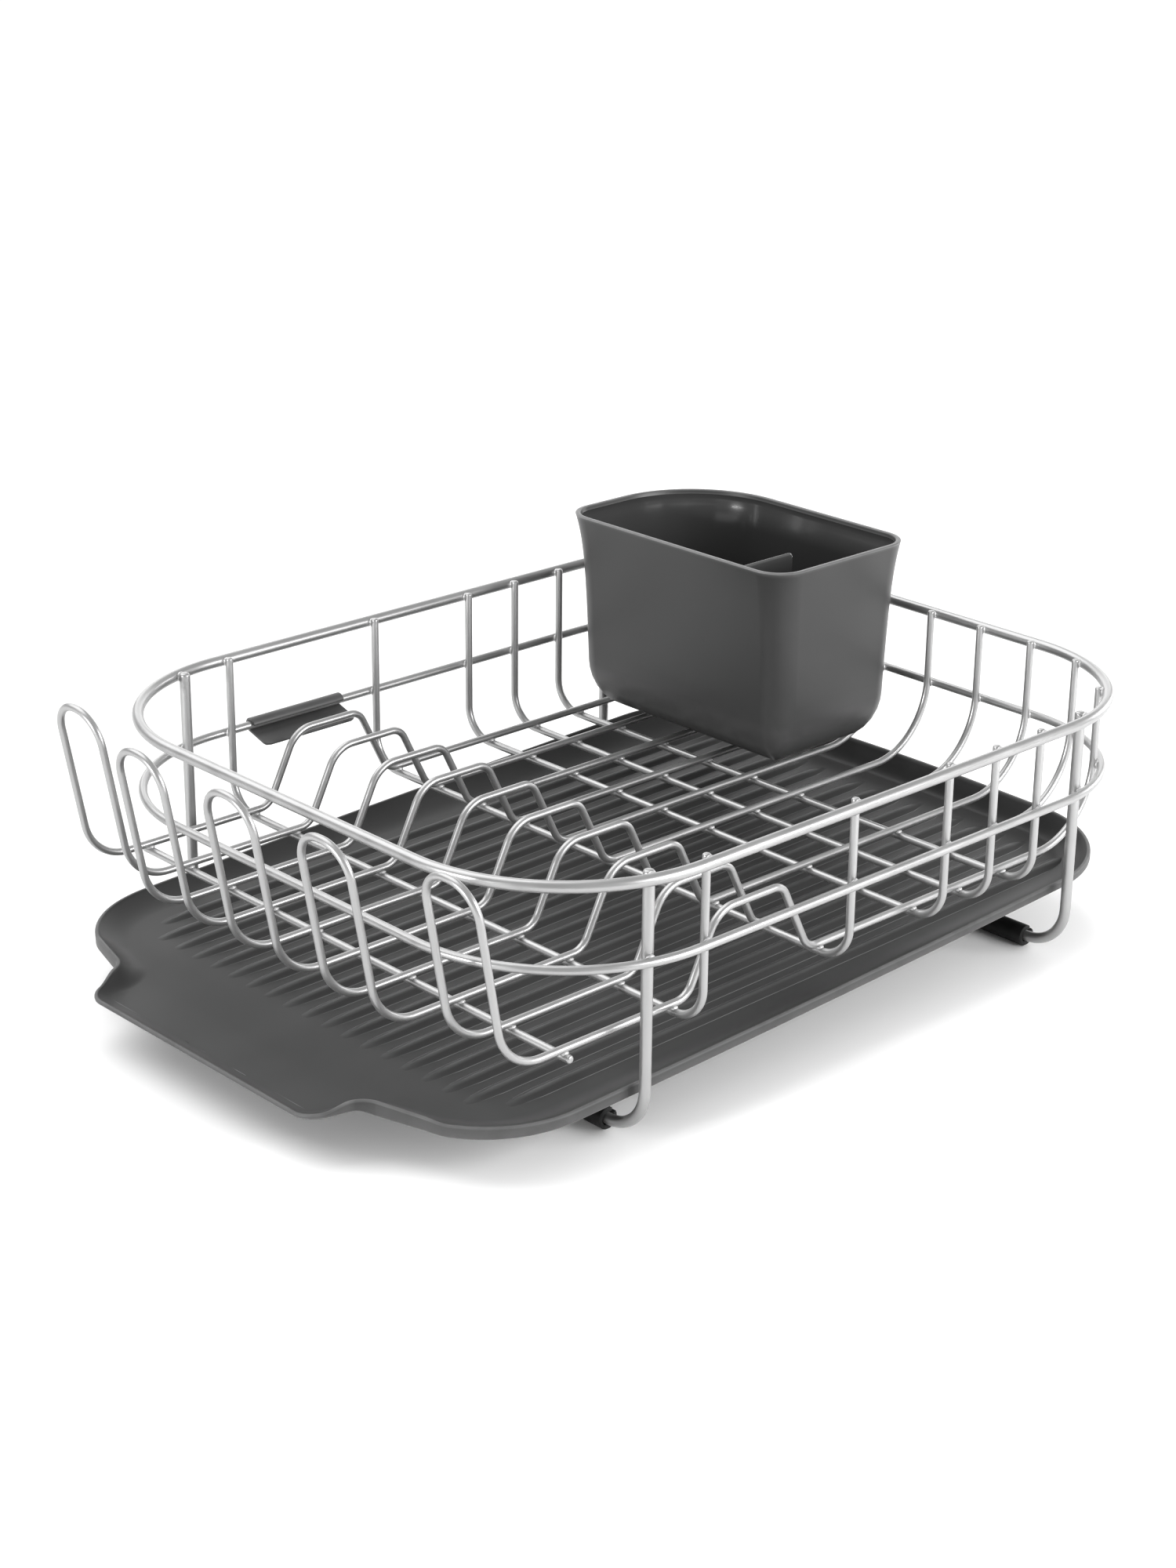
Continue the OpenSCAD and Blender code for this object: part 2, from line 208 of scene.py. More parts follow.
def shader_group(name, inputs, outputs):
    """A shader node group with named inputs (label, kind, default) and outputs (label, kind)."""
    group = bpy.data.node_groups.new(name, "ShaderNodeTree")
    for label, kind, default in inputs:
        socket = group.interface.new_socket(label, in_out="INPUT", socket_type="NodeSocket" + kind)
        socket.default_value = default
    for label, kind in outputs:
        group.interface.new_socket(label, in_out="OUTPUT", socket_type="NodeSocket" + kind)
    return group, group.nodes.new("NodeGroupInput"), group.nodes.new("NodeGroupOutput")


def feed(tree, value, socket):
    """Links a socket to another, or sets it to a plain number."""
    if isinstance(value, bpy.types.NodeSocket):
        tree.links.new(value, socket)
    else:
        socket.default_value = value


def math_node(tree, operation, *values, clamp=False):
    """A sum on sockets and plain numbers."""
    node = tree.nodes.new("ShaderNodeMath")
    node.operation = operation
    node.use_clamp = clamp
    for value, socket in zip(values, node.inputs):
        feed(tree, value, socket)
    return node.outputs[0]


def combine(tree, x=0.0, y=0.0, z=0.0):
    """A vector from sockets and plain numbers."""
    node = tree.nodes.new("ShaderNodeCombineXYZ")
    for value, socket in zip((x, y, z), node.inputs):
        feed(tree, value, socket)
    return node.outputs[0]


def stretch(tree, value, low, high, to_low=0.0, to_high=1.0):
    """The part of a value between low and high, stretched over another range."""
    node = tree.nodes.new("ShaderNodeMapRange")
    labels = ("Value", "From Min", "From Max", "To Min", "To Max")
    for label, source in zip(labels, (value, low, high, to_low, to_high)):
        feed(tree, source, node.inputs[label])
    return node.outputs[0]


def mix_colours(group, factor, a, b):
    """A blend from colour a to colour b, on the mix node's colour sockets."""
    node = group.nodes.new("ShaderNodeMix")
    node.data_type = "RGBA"
    group.links.new(factor, node.inputs["Factor"])
    group.links.new(a, node.inputs[6])
    group.links.new(b, node.inputs[7])
    return node.outputs[2]


def noise(group, coordinates, scale, detail=3.0, roughness=0.55):
    """A soft random pattern between 0 and 1."""
    node = group.nodes.new("ShaderNodeTexNoise")
    group.links.new(coordinates, node.inputs["Vector"])
    feed(group, scale, node.inputs["Scale"])
    node.inputs["Detail"].default_value = detail
    node.inputs["Roughness"].default_value = roughness
    return node.outputs["Fac"]


def grey(value):
    """An opaque grey from one linear value."""
    return (value, value, value, 1)


# The part of a noise's range that the patches use
PATCH_RANGE = (0.3, 0.7)


def make_tone_drift():
    """Slow patches between two close tones, and the roughness that goes with them."""
    group, g_in, g_out = shader_group(
        "Tone drift",
        [
            ("Base tone", "Color", grey(0.5)),
            ("Other tone", "Color", grey(0.6)),
            ("Patch scale", "Float", 12.0),
            ("Low roughness", "Float", 0.35),
            ("High roughness", "Float", 0.5),
        ],
        [("Tone", "Color"), ("Roughness", "Float")],
    )
    given = g_in.outputs
    where = group.nodes.new("ShaderNodeTexCoord").outputs["Object"]
    patches = noise(group, where, given["Patch scale"])
    share = stretch(group, patches, *PATCH_RANGE)
    tone = mix_colours(group, share, given["Base tone"], given["Other tone"])
    roughness = stretch(
        group, patches, *PATCH_RANGE, given["Low roughness"], given["High roughness"]
    )
    group.links.new(tone, g_out.inputs["Tone"])
    group.links.new(roughness, g_out.inputs["Roughness"])
    return group


def make_fine_grain():
    """The fine grain of a moulded or sprayed surface, as a normal."""
    group, g_in, g_out = shader_group(
        "Fine grain",
        [
            ("Grain scale", "Float", 1500.0),
            ("Grain depth", "Float", 0.00002),
            ("Ripple scale", "Float", 60.0),
            ("Ripple depth", "Float", 0.00005),
        ],
        [("Normal", "Vector")],
    )
    where = group.nodes.new("ShaderNodeTexCoord").outputs["Object"]
    grain = noise(group, where, g_in.outputs["Grain scale"], detail=2.0)
    ripple = noise(group, where, g_in.outputs["Ripple scale"], detail=1.0)
    fine = math_node(group, "MULTIPLY", grain, g_in.outputs["Grain depth"])
    broad = math_node(group, "MULTIPLY", ripple, g_in.outputs["Ripple depth"])
    height = math_node(group, "ADD", fine, broad)
    bump = group.nodes.new("ShaderNodeBump")
    bump.inputs["Strength"].default_value = 1.0
    bump.inputs["Distance"].default_value = 1.0
    group.links.new(height, bump.inputs["Height"])
    group.links.new(bump.outputs["Normal"], g_out.inputs["Normal"])
    return group


def make_edge_wear_and_highlight():
    """Paler edges found by pointiness, as a mask mixed into a tone: partly edge wear, partly a
    painted highlight along lips and rims.
    """
    group, g_in, g_out = shader_group(
        "Edge wear and painted highlight",
        [
            ("Tone", "Color", grey(0.5)),
            ("Wear and highlight tone", "Color", grey(0.7)),
            ("Amount", "Float", 0.5),
            ("Edge start", "Float", 0.52),
            ("Edge end", "Float", 0.62),
        ],
        [("Tone", "Color"), ("Mask", "Float")],
    )
    where = group.nodes.new("ShaderNodeTexCoord").outputs["Object"]
    pointy = group.nodes.new("ShaderNodeNewGeometry").outputs["Pointiness"]
    band = stretch(group, pointy, g_in.outputs["Edge start"], g_in.outputs["Edge end"])
    uneven = noise(group, where, 90.0)
    patchy = math_node(group, "ADD", uneven, 0.45, clamp=True)
    mask = math_node(group, "MULTIPLY", band, patchy)
    mask = math_node(group, "MULTIPLY", mask, g_in.outputs["Amount"], clamp=True)
    # The pale edge tone is partly wear and partly a painted highlight
    tone = mix_colours(group, mask, g_in.outputs["Tone"], g_in.outputs["Wear and highlight tone"])
    group.links.new(tone, g_out.inputs["Tone"])
    group.links.new(mask, g_out.inputs["Mask"])
    return group


TONE_DRIFT = make_tone_drift()
FINE_GRAIN = make_fine_grain()
EDGE_WEAR_AND_HIGHLIGHT = make_edge_wear_and_highlight()


def use_group(tree, group, values):
    """A shared effect placed in a material with its own values."""
    node = tree.nodes.new("ShaderNodeGroup")
    node.node_tree = group
    for label, value in values.items():
        node.inputs[label].default_value = value
    return node


def coated(name, tones, roughness, patch_scale, grain, ripple, wear_and_highlight, specular, metallic=0.0):
    """A finish made of the three shared effects and one Principled shader.

    tones and roughness are (low, high), grain and ripple are (scale, depth in metres), and
    wear_and_highlight is (tone, amount, edge start, edge end) of the paler edges, partly
    wear and partly a painted highlight.
    """
    material = bpy.data.materials.new(name)
    material.use_nodes = True
    tree = material.node_tree
    principled = tree.nodes["Principled BSDF"]
    principled.inputs["Metallic"].default_value = metallic
    principled.inputs["Specular IOR Level"].default_value = specular
    drift = use_group(
        tree,
        TONE_DRIFT,
        {
            "Base tone": grey(tones[0]),
            "Other tone": grey(tones[1]),
            "Patch scale": patch_scale,
            "Low roughness": roughness[0],
            "High roughness": roughness[1],
        },
    )
    # Paler edges: edge wear, and on the tray and caddy lips a painted highlight line
    labels = ("Wear and highlight tone", "Amount", "Edge start", "Edge end")
    edges = use_group(tree, EDGE_WEAR_AND_HIGHLIGHT, dict(zip(labels, (grey(wear_and_highlight[0]), *wear_and_highlight[1:]))))
    labels = ("Grain scale", "Grain depth", "Ripple scale", "Ripple depth")
    grains = use_group(tree, FINE_GRAIN, dict(zip(labels, grain + ripple)))
    tree.links.new(drift.outputs["Tone"], edges.inputs["Tone"])
    tree.links.new(edges.outputs["Tone"], principled.inputs["Base Color"])
    tree.links.new(drift.outputs["Roughness"], principled.inputs["Roughness"])
    tree.links.new(grains.outputs["Normal"], principled.inputs["Normal"])
    return material


SATIN_WIRE = coated(
    "Satin grey coating",
    tones=(0.36, 0.40),
    roughness=(0.30, 0.38),
    patch_scale=30.0,
    grain=(1400.0, 0.000006),
    ripple=(160.0, 0.00003),
    wear_and_highlight=(0.62, 0.2, 0.53, 0.65),
    specular=0.5,
    metallic=0.75,
)
WELD_METAL = coated(
    "Coated weld",
    tones=(0.46, 0.56),
    roughness=(0.36, 0.5),
    patch_scale=220.0,
    grain=(1400.0, 0.00001),
    ripple=(700.0, 0.00010),
    wear_and_highlight=(0.72, 0.3, 0.52, 0.62),
    specular=0.5,
    metallic=0.55,
)
TRAY_PLASTIC = coated(
    "Charcoal tray plastic",
    tones=(0.031, 0.035),
    roughness=(0.40, 0.48),
    patch_scale=9.0,
    grain=(2600.0, 0.000010),
    ripple=(45.0, 0.00003),
    # A pale edge tone mixed in strongly: a painted highlight line along the tray's lip
    wear_and_highlight=(0.30, 0.8, 0.51, 0.58),
    specular=0.18,
)
CADDY_PLASTIC = coated(
    "Charcoal caddy plastic",
    tones=(0.038, 0.042),
    roughness=(0.32, 0.38),
    patch_scale=8.0,
    grain=(2600.0, 0.000006),
    ripple=(35.0, 0.00003),
    # A pale edge tone mixed in strongly: a painted highlight line along the caddy's rim
    wear_and_highlight=(0.26, 0.7, 0.51, 0.58),
    specular=0.32,
)
CADDY_INSIDE = coated(
    "Polished caddy inside",
    tones=(0.046, 0.052),
    roughness=(0.10, 0.13),
    patch_scale=8.0,
    grain=(2600.0, 0.000001),
    ripple=(35.0, 0.00002),
    wear_and_highlight=(0.12, 0.4, 0.52, 0.62),
    specular=1.0,
)
CLIP_PLASTIC = coated(
    "Charcoal clip plastic",
    tones=(0.050, 0.058),
    roughness=(0.42, 0.5),
    patch_scale=60.0,
    grain=(2600.0, 0.000008),
    ripple=(120.0, 0.00003),
    wear_and_highlight=(0.12, 0.4, 0.52, 0.62),
    specular=0.5,
)
FOOT_RUBBER = coated(
    "Black foot rubber",
    tones=(0.004, 0.007),
    roughness=(0.5, 0.62),
    patch_scale=120.0,
    grain=(1800.0, 0.00002),
    ripple=(250.0, 0.00004),
    wear_and_highlight=(0.05, 0.5, 0.52, 0.62),
    specular=0.25,
)


# ---- bent wires


def rounded_path(corners, radii, step_deg=5.0):
    """Points along straights joined by round bends."""
    points = [Vector(corners[0])]
    for i in range(1, len(corners) - 1):
        a, b, c = Vector(corners[i - 1]), Vector(corners[i]), Vector(corners[i + 1])
        travel, leaving = (b - a).normalized(), (c - b).normalized()
        angle = travel.angle(leaving)
        inward = (leaving - travel * travel.dot(leaving)).normalized()
        centre = b - travel * radii[i] * math.tan(angle / 2) + inward * radii[i]
        steps = max(2, math.ceil(math.degrees(angle) / step_deg))
        for k in range(steps + 1):
            turn = angle * k / steps
            points.append(centre + radii[i] * (travel * math.sin(turn) - inward * math.cos(turn)))
    points.append(Vector(corners[-1]))
    return points


# How much of a wire's radius its blunt tip rounds off, in how many steps
TIP_SHARE = 0.55
TIP_STEPS = 5


def round_tips(points, radius):
    """The path with a few more points at its ends, and the swell that makes them blunt."""
    tip = radius * TIP_SHARE
    start = (points[1] - points[0]).normalized()
    finish = (points[-2] - points[-1]).normalized()
    head, tail, swell = [], [], []
    for k in range(TIP_STEPS):
        turn = math.pi / 2 * k / TIP_STEPS
        reach = tip - tip * math.cos(turn)
        head.append(points[0] + start * reach)
        tail.append(points[-1] + finish * reach)
        swell.append((radius - tip + tip * math.sin(turn)) / radius)
    body = [points[0] + start * tip] + points[1:-1] + [points[-1] + finish * tip]
    return head + body + tail[::-1], swell + [1.0] * len(body) + swell[::-1]


def make_wire_tree():
    """A round wire swept along a chain of edges; its swell attribute narrows the tips."""
    tree, g_in, g_out = new_tree(
        "Drawn wire", [("Wire radius", "Float"), ("Sides", "Int"), ("Finish", "Material")]
    )
    link = tree.links.new
    curve = tree.nodes.new("GeometryNodeMeshToCurve")
    link(g_in.outputs["Geometry"], curve.inputs["Mesh"])
    section = tree.nodes.new("GeometryNodeCurvePrimitiveCircle")
    link(g_in.outputs["Sides"], section.inputs["Resolution"])
    link(g_in.outputs["Wire radius"], section.inputs["Radius"])
    sweep = tree.nodes.new("GeometryNodeCurveToMesh")
    link(curve.outputs["Curve"], sweep.inputs["Curve"])
    link(section.outputs["Curve"], sweep.inputs["Profile Curve"])
    link(point_value(tree, "swell", "FLOAT"), sweep.inputs["Scale"])
    sweep.inputs["Fill Caps"].default_value = True
    close_tree(tree, g_in, g_out, sweep.outputs["Mesh"])
    return tree


WIRE_TREE = make_wire_tree()
WIRE_SIDES = 20
# Path points closer than this, in millimetres, are one point
SAME_PLACE = 1e-4


def wire(name, points, diameter, node, closed=False):
    """One wire of the basket, swept along its points in millimetres."""
    radius = diameter / 2
    path, sizes = (points, [1.0] * len(points)) if closed else round_tips(points, radius)
    kept = [(path[0], sizes[0])]
    for point, size in zip(path[1:], sizes[1:]):
        if (point - kept[-1][0]).length > SAME_PLACE:
            kept.append((point, size))
    count = len(kept)
    edges = [(i, i + 1) for i in range(count - 1)]
    if closed:
        edges.append((count - 1, 0))
    mesh = bpy.data.meshes.new(name + "_path")
    mesh.from_pydata([point * MM for point, _ in kept], edges, [])
    swell = mesh.attributes.new("swell", "FLOAT", "POINT")
    swell.data.foreach_set("value", [size for _, size in kept])
    values = {"Wire radius": radius * MM, "Sides": WIRE_SIDES, "Finish": SATIN_WIRE}
    piece = grow(name, mesh, WIRE_TREE, values)
    finish_mesh(piece.data, 50)
    settle(piece, "rack", (node,))


def basket_loop(height, shrink, steps=30):
    """The basket's rounded plan at a height, shrunk by an amount."""
    r = BASKET_CORNER_R - shrink
    points = []
    for sx, sy, start in ((1, 1, 0), (-1, 1, 90), (-1, -1, 180), (1, -1, 270)):
        for k in range(steps + 1):
            turn = math.radians(start + 90 * k / steps)
            x, y = sx * CORNER_X + r * math.cos(turn), sy * CORNER_Y + r * math.sin(turn)
            points.append(Vector((BASKET_X + x, y, height)))
    return points


def plate_y(i):
    """The line of floor wire i, counted from the back."""
    return (5.5 - i) * WIRE_PITCH


def plate_end_x(y):
    """Where the wire on line y comes up inside the rim at the basket's end."""
    r = BASKET_CORNER_R - (RIM_D + PLATE_D) / 2 + WELD_BITE
    if abs(y) <= CORNER_Y:
        return CORNER_X + r
    return CORNER_X + math.sqrt(r**2 - (abs(y) - CORNER_Y) ** 2)


def leg_y(x):
    """How far out a post at x stands, inside the rim's round corner."""
    r = BASKET_CORNER_R - (RIM_D + LEG_D) / 2 + WELD_BITE
    return CORNER_Y + math.sqrt(r**2 - (abs(x) - CORNER_X) ** 2)


HUMP_TOP = 98.0
HUMP_X = (-33.7, -53.5, -97.7, -117.5)
HAIRPIN_FOOT = -246.0
HAIRPIN_LEAN = 10.3
HAIRPIN_TOP = 152.5
OUTER_SHIFT = 13.5
PLATE_BENDS = (0, 42, 11, 10, 17, 11, 26, 17)


def plate_half(y, shift):
    """The bends of one floor wire, from its upright end over the hump to the hairpin's top."""
    foot = HAIRPIN_FOOT + shift
    lean = (HAIRPIN_TOP - FLOOR_Z) * math.tan(math.radians(HAIRPIN_LEAN))
    return [
        (plate_end_x(y), y, WIRE_TOP),
        (plate_end_x(y), y, FLOOR_Z),
        (HUMP_X[0], y, FLOOR_Z),
        (HUMP_X[1], y, HUMP_TOP),
        (HUMP_X[2], y, HUMP_TOP),
        (HUMP_X[3], y, FLOOR_Z),
        (foot, y, FLOOR_Z),
        (foot - lean, y, HAIRPIN_TOP),
    ]


def in_basket(points):
    """Points about the basket's middle, moved into the frame."""
    return [Vector((BASKET_X + p[0], p[1], p[2])) for p in points]


def hoop(x, half_width, foot, bend):
    """A U-shaped wire across the basket at x, open at the top."""
    bends = ((-1, WIRE_TOP), (-1, foot), (1, foot), (1, WIRE_TOP))
    corners = in_basket([(x, side * half_width, z) for side, z in bends])
    return rounded_path(corners, (0, bend, bend, 0))


def build_wires():
    """Every wire of the rack, each with the node that it stands for."""
    wire("rim_wire", basket_loop(RIM_Z, 0), RIM_D, "top_rim", closed=True)
    wire("rail_wire", basket_loop(RAIL_Z, RAIL_SHIFT), RAIL_D, "lower_rail", closed=True)
    for number, x in enumerate(CROSS_X, 1):
        path = hoop(x, CROSS_HALF, CROSS_Z, CROSS_BEND)
        wire(f"cross_hoop_{number}", path, CROSS_D, f"cross_wire_{number}")
    rod = in_basket([(END_ROD_X, side * END_ROD_HALF, CROSS_Z) for side in (-1, 1)])
    wire("end_rod", rod, CROSS_D, "end_cross_rod")
    for number in range(1, 6):
        y = plate_y(2 * number - 1)
        shift = OUTER_SHIFT if number in (1, 5) else 0
        corners = plate_half(y, shift) + plate_half(y - WIRE_PITCH, shift)[::-1]
        path = rounded_path(in_basket(corners), PLATE_BENDS + PLATE_BENDS[::-1])
        wire(f"plate_holder_{number}", path, PLATE_D, f"plate_wire_{number}")
    for side, x in zip(("left", "right"), LEG_X):
        wire(f"leg_hoop_{side}", hoop(x, leg_y(x), BAR_Z, LEG_BEND), LEG_D, f"{side}_leg_wire")


build_wires()


# ---- weld beads


BEAD_R = 2.5
# How each kind of bead is stretched, its last value being along its axis
UNDER_BEAD = (1.0, 1.0, 0.55)
HOOP_BEAD = (1.0, 1.0, 0.6)
LEG_BEAD = (1.15, 1.15, 0.6)


def make_bead_tree():
    """A squashed bead on each point, turned to its axis and sized by its own attributes."""
    tree, g_in, g_out = new_tree(
        "Weld beads", [("Bead radius", "Float"), ("Segments", "Int"), ("Finish", "Material")]
    )
    link = tree.links.new
    ball = tree.nodes.new("GeometryNodeMeshUVSphere")
    link(g_in.outputs["Segments"], ball.inputs["Segments"])
    ball.inputs["Rings"].default_value = 6
    link(g_in.outputs["Bead radius"], ball.inputs["Radius"])
    turn = tree.nodes.new("FunctionNodeAlignRotationToVector")
    turn.axis = "Z"
    link(point_value(tree, "bead_axis", "FLOAT_VECTOR"), turn.inputs["Vector"])
    place = tree.nodes.new("GeometryNodeInstanceOnPoints")
    link(g_in.outputs["Geometry"], place.inputs["Points"])
    link(ball.outputs["Mesh"], place.inputs["Instance"])
    link(turn.outputs["Rotation"], place.inputs["Rotation"])
    link(point_value(tree, "bead_size", "FLOAT_VECTOR"), place.inputs["Scale"])
    close_tree(tree, g_in, g_out, place.outputs["Instances"])
    return tree


def corner_weld(x, y, height, inner):
    """Where an upright at (x, y) meets a hoop's round corner, and the way out from there."""
    middle = Vector((math.copysign(CORNER_X, x), math.copysign(CORNER_Y, y), height))
    away = (Vector((x, y, height)) - middle).normalized()
    return middle + away * (BASKET_CORNER_R - inner), away


def bead_places():
    """(place, axis, size) of every weld: under the floor wires, and at the rim and the rail."""
    welds = []
    contact_z = FLOOR_Z - PLATE_D / 2
    lines = [plate_y(i) for i in range(1, 11)]
    for y in lines:
        for x in (END_ROD_X,) + CROSS_X:
            on_hump = HUMP_X[3] < x < HUMP_X[0]
            if not on_hump:
                welds.append(((x, y, contact_z), (0, 0, 1), UNDER_BEAD))
    for height, wire_d, shrink in ((RIM_Z, RIM_D, 0.0), (RAIL_Z, RAIL_D, RAIL_SHIFT)):
        inner = wire_d / 2 + shrink
        for side in (-1, 1):
            for x in CROSS_X:
                place = (x, side * (BASKET_WIDTH_HALF - inner), height)
                welds.append((place, (0, side, 0), HOOP_BEAD))
            for x in LEG_X:
                welds.append((*corner_weld(x, side * leg_y(x), height, inner), LEG_BEAD))
        for y in lines:
            if abs(y) <= CORNER_Y:
                welds.append(((BASKET_LENGTH_HALF - inner, y, height), (1, 0, 0), HOOP_BEAD))
            else:
                welds.append((*corner_weld(plate_end_x(y), y, height, inner), HOOP_BEAD))
    return welds


def build_welds():
    """All the beads, as one piece."""
    welds = bead_places()
    mesh = bpy.data.meshes.new("weld_points")
    mesh.from_pydata([p * MM for p in in_basket([w[0] for w in welds])], [], [])
    for name, index in (("bead_axis", 1), ("bead_size", 2)):
        attribute = mesh.attributes.new(name, "FLOAT_VECTOR", "POINT")
        attribute.data.foreach_set("vector", [c for w in welds for c in Vector(w[index])])
    values = {"Bead radius": BEAD_R * MM, "Segments": 12, "Finish": WELD_METAL}
    piece = grow("weld_beads", mesh, make_bead_tree(), values)
    finish_mesh(piece.data, 60)
    settle(piece, "rack")


build_welds()


# ---- rubber foot sleeves

SLEEVE_R = 5.8
SLEEVE_BORE_R = 3.35
SLEEVE_LENGTH = 46.0
SLEEVE_SLIT_HALF_DEG = 15.0
SLEEVE_SLIT_AT_DEG = 45.0
SLEEVE_CHAMFER = 0.5
SLEEVE_STEPS = 40
# How far the slit's edges round off, at the edge, one step from it, and beyond
SLIT_OUTER_ROUND = (0.5, 0.12, 0.0)
SLIT_BORE_ROUND = (0.3, 0.0, 0.0)
# Degrees that a chamfer opens each side of the slit by, for each millimetre
SLIT_OPENING = 6


def sleeve_section(inset):
    """The C-shaped end of a sleeve, drawn in by an amount, as (x, z) about the bar."""
    slit_half = SLEEVE_SLIT_HALF_DEG + inset * SLIT_OPENING
    start, sweep = SLEEVE_SLIT_AT_DEG + slit_half, 360 - 2 * slit_half
    outside, bore = [], []
    for k in range(SLEEVE_STEPS + 1):
        turn = math.radians(start + sweep * k / SLEEVE_STEPS)
        from_slit = min(k, SLEEVE_STEPS - k, 2)
        for line, r in (
            (outside, SLEEVE_R - inset - SLIT_OUTER_ROUND[from_slit]),
            (bore, SLEEVE_BORE_R + inset + SLIT_BORE_ROUND[from_slit]),
        ):
            line.append((r * math.cos(turn), r * math.sin(turn)))
    return outside + bore[::-1]


def build_sleeves():
    """A slit sleeve on each end of both bars, flat where it stands."""
    flat = 8.0
    stations = (
        (0.0, SLEEVE_CHAMFER),
        (SLEEVE_CHAMFER, 0.0),
        (flat, 0.0),
        (SLEEVE_LENGTH - flat, 0.0),
        (SLEEVE_LENGTH - SLEEVE_CHAMFER, 0.0),
        (SLEEVE_LENGTH, SLEEVE_CHAMFER),
    )
    for end, x in zip(("left", "right"), LEG_X):
        reach = leg_y(x) - LEG_BEND
        for face, low in (("front", -reach), ("back", reach - SLEEVE_LENGTH)):
            points = [
                (BASKET_X + x + px, low + along, max(0.0, BAR_Z + pz))
                for along, inset in stations
                for px, pz in sleeve_section(inset)
            ]
            new_piece(
                f"foot_rubber_{face}_{end}",
                points,
                sheet_faces(len(stations), len(points) // len(stations)),
                FOOT_RUBBER,
                "rack",
                (f"foot_sleeve_{face}_{end}",),
                smooth_angle=35,
            )


build_sleeves()


# ---- rail clip


CLIP_R = RAIL_D / 2 + 1.0
CLIP_HALF_WALL = 0.8
CLIP_ROLL_FROM_DEG = 176
CLIP_DROP_DEG = 17
CLIP_ROLL_STEPS = 26
CLIP_FLAP = 16.2
CLIP_FLAP_STEPS = 14
CLIP_CORNER_R = 3.2
CLIP_LIP_R = 0.6
CLIP_START = -111.0
CLIP_LENGTH = 63.0
CLIP_EDGE = 0.25
# How far the two faces close on each other at the clip's ends, and the wall left at its lips
CLIP_PINCH = 0.15
CLIP_LIP_SHARE = 0.55


def clip_line():
    """The middle of the clip's sheet, as (y, z) about the rail, from the roll's lip to the flap."""
    start, finish = math.radians(CLIP_ROLL_FROM_DEG), math.radians(CLIP_DROP_DEG - 90)
    line = []
    for k in range(CLIP_ROLL_STEPS + 1):
        turn = start + (finish - start) * k / CLIP_ROLL_STEPS
        line.append(Vector((CLIP_R * math.cos(turn), CLIP_R * math.sin(turn))))
    drop = math.radians(CLIP_DROP_DEG)
    root, along = line[-1], Vector((-math.cos(drop), -math.sin(drop)))
    for k in range(1, CLIP_FLAP_STEPS + 1):
        line.append(root + along * CLIP_FLAP * k / CLIP_FLAP_STEPS)
    return line


def rounded_off(distance, radius):
    """How far a round corner has drawn back at a distance from the edge that it meets."""
    if distance >= radius:
        return 0.0
    return radius - math.sqrt(max(0.0, radius**2 - (radius - distance) ** 2))


def build_clip():
    """The sheet rolled round the rail, with round corners on its flap."""
    line = clip_line()
    last = len(line) - 1
    steps = [(b - a).length for a, b in zip(line, line[1:])]
    outer, inner, cuts = [], [], []
    for i, point in enumerate(line):
        along = (line[min(i + 1, last)] - line[max(i - 1, 0)]).normalized()
        side = Vector((along.y, -along.x))
        wall = CLIP_HALF_WALL * (CLIP_LIP_SHARE if i in (0, last) else 1)
        outer.append(point + side * wall)
        inner.append(point - side * wall)
        done, left = sum(steps[:i]), sum(steps[i:])
        cuts.append(max(rounded_off(left, CLIP_CORNER_R), rounded_off(done, CLIP_LIP_R)))
    section = outer + inner[::-1]
    cuts += cuts[::-1]
    x0 = BASKET_X + CLIP_START
    x1 = x0 + CLIP_LENGTH
    y_rail = BASKET_WIDTH_HALF - RAIL_SHIFT
    stations = (0.0, CLIP_EDGE, 6.0, CLIP_LENGTH - 6.0, CLIP_LENGTH - CLIP_EDGE, CLIP_LENGTH)
    points = []
    for s in stations:
        pinch = CLIP_PINCH if s in (0.0, CLIP_LENGTH) else 0.0
        for point, mate, cut in zip(section, section[::-1], cuts):
            place = point.lerp(mate, pinch)
            lowest = x0 + cut + min(s, CLIP_EDGE)
            highest = x1 - cut - min(CLIP_LENGTH - s, CLIP_EDGE)
            x = min(max(x0 + s, lowest), highest)
            points.append((x, y_rail + place.x, RAIL_Z + place.y))
    faces = sheet_faces(len(stations), len(section))
    new_piece("rail_clip_sheet", points, faces, CLIP_PLASTIC, "rack", ("rail_clip",))


build_clip()


# ---- drain tray

TRAY_TILT = math.radians(1.87)
TRAY_LIP_Z = 35.3
TRAY_HALF_WIDTH = 172.0
TRAY_END = 261.0
TRAY_WALL = 2.2
TRAY_HIGH_R = 70.0
TRAY_LOW_R = 60.0
TRAY_NOTCH_R = 13.0
TRAY_SPOUT_R = 14.0
TRAY_SPOUT_REACH = 92.5
TRAY_NECK = 24.0
TRAY_NOTCH_DEG = 16.0
TRAY_SPOUT_DEG = 65.0
TRAY_BOW = 3.6
LIP_WIDTH = 2.2
LIP_STEP = 0.5
DISH_STEPS = 12
FLOOR_SPANS = 10
# The lip round the tray, as (height over the lip plane, outer band's depth, inner wall's width)
HIGH_END = (0.0, 4.6, 11.0)
SIDE_HIGH = (0.0, 4.4, 24.0)
SIDE_LOW = (0.0, 5.8, 18.0)
LOW_CORNER = (0.8, 6.4, 16.0)
NECK = (2.6, 7.0, 14.0)
NOTCH = (3.4, 7.6, 14.0)
NOTCH_END = (3.4, 5.4, 11.0)
SPOUT_SIDE = (-0.6, 2.6, 7.0)
SPOUT_EDGE = (-1.2, 2.1, 6.0)
FLOOR_MID = -8.8
FLOOR_FALL = math.tan(math.radians(0.96))


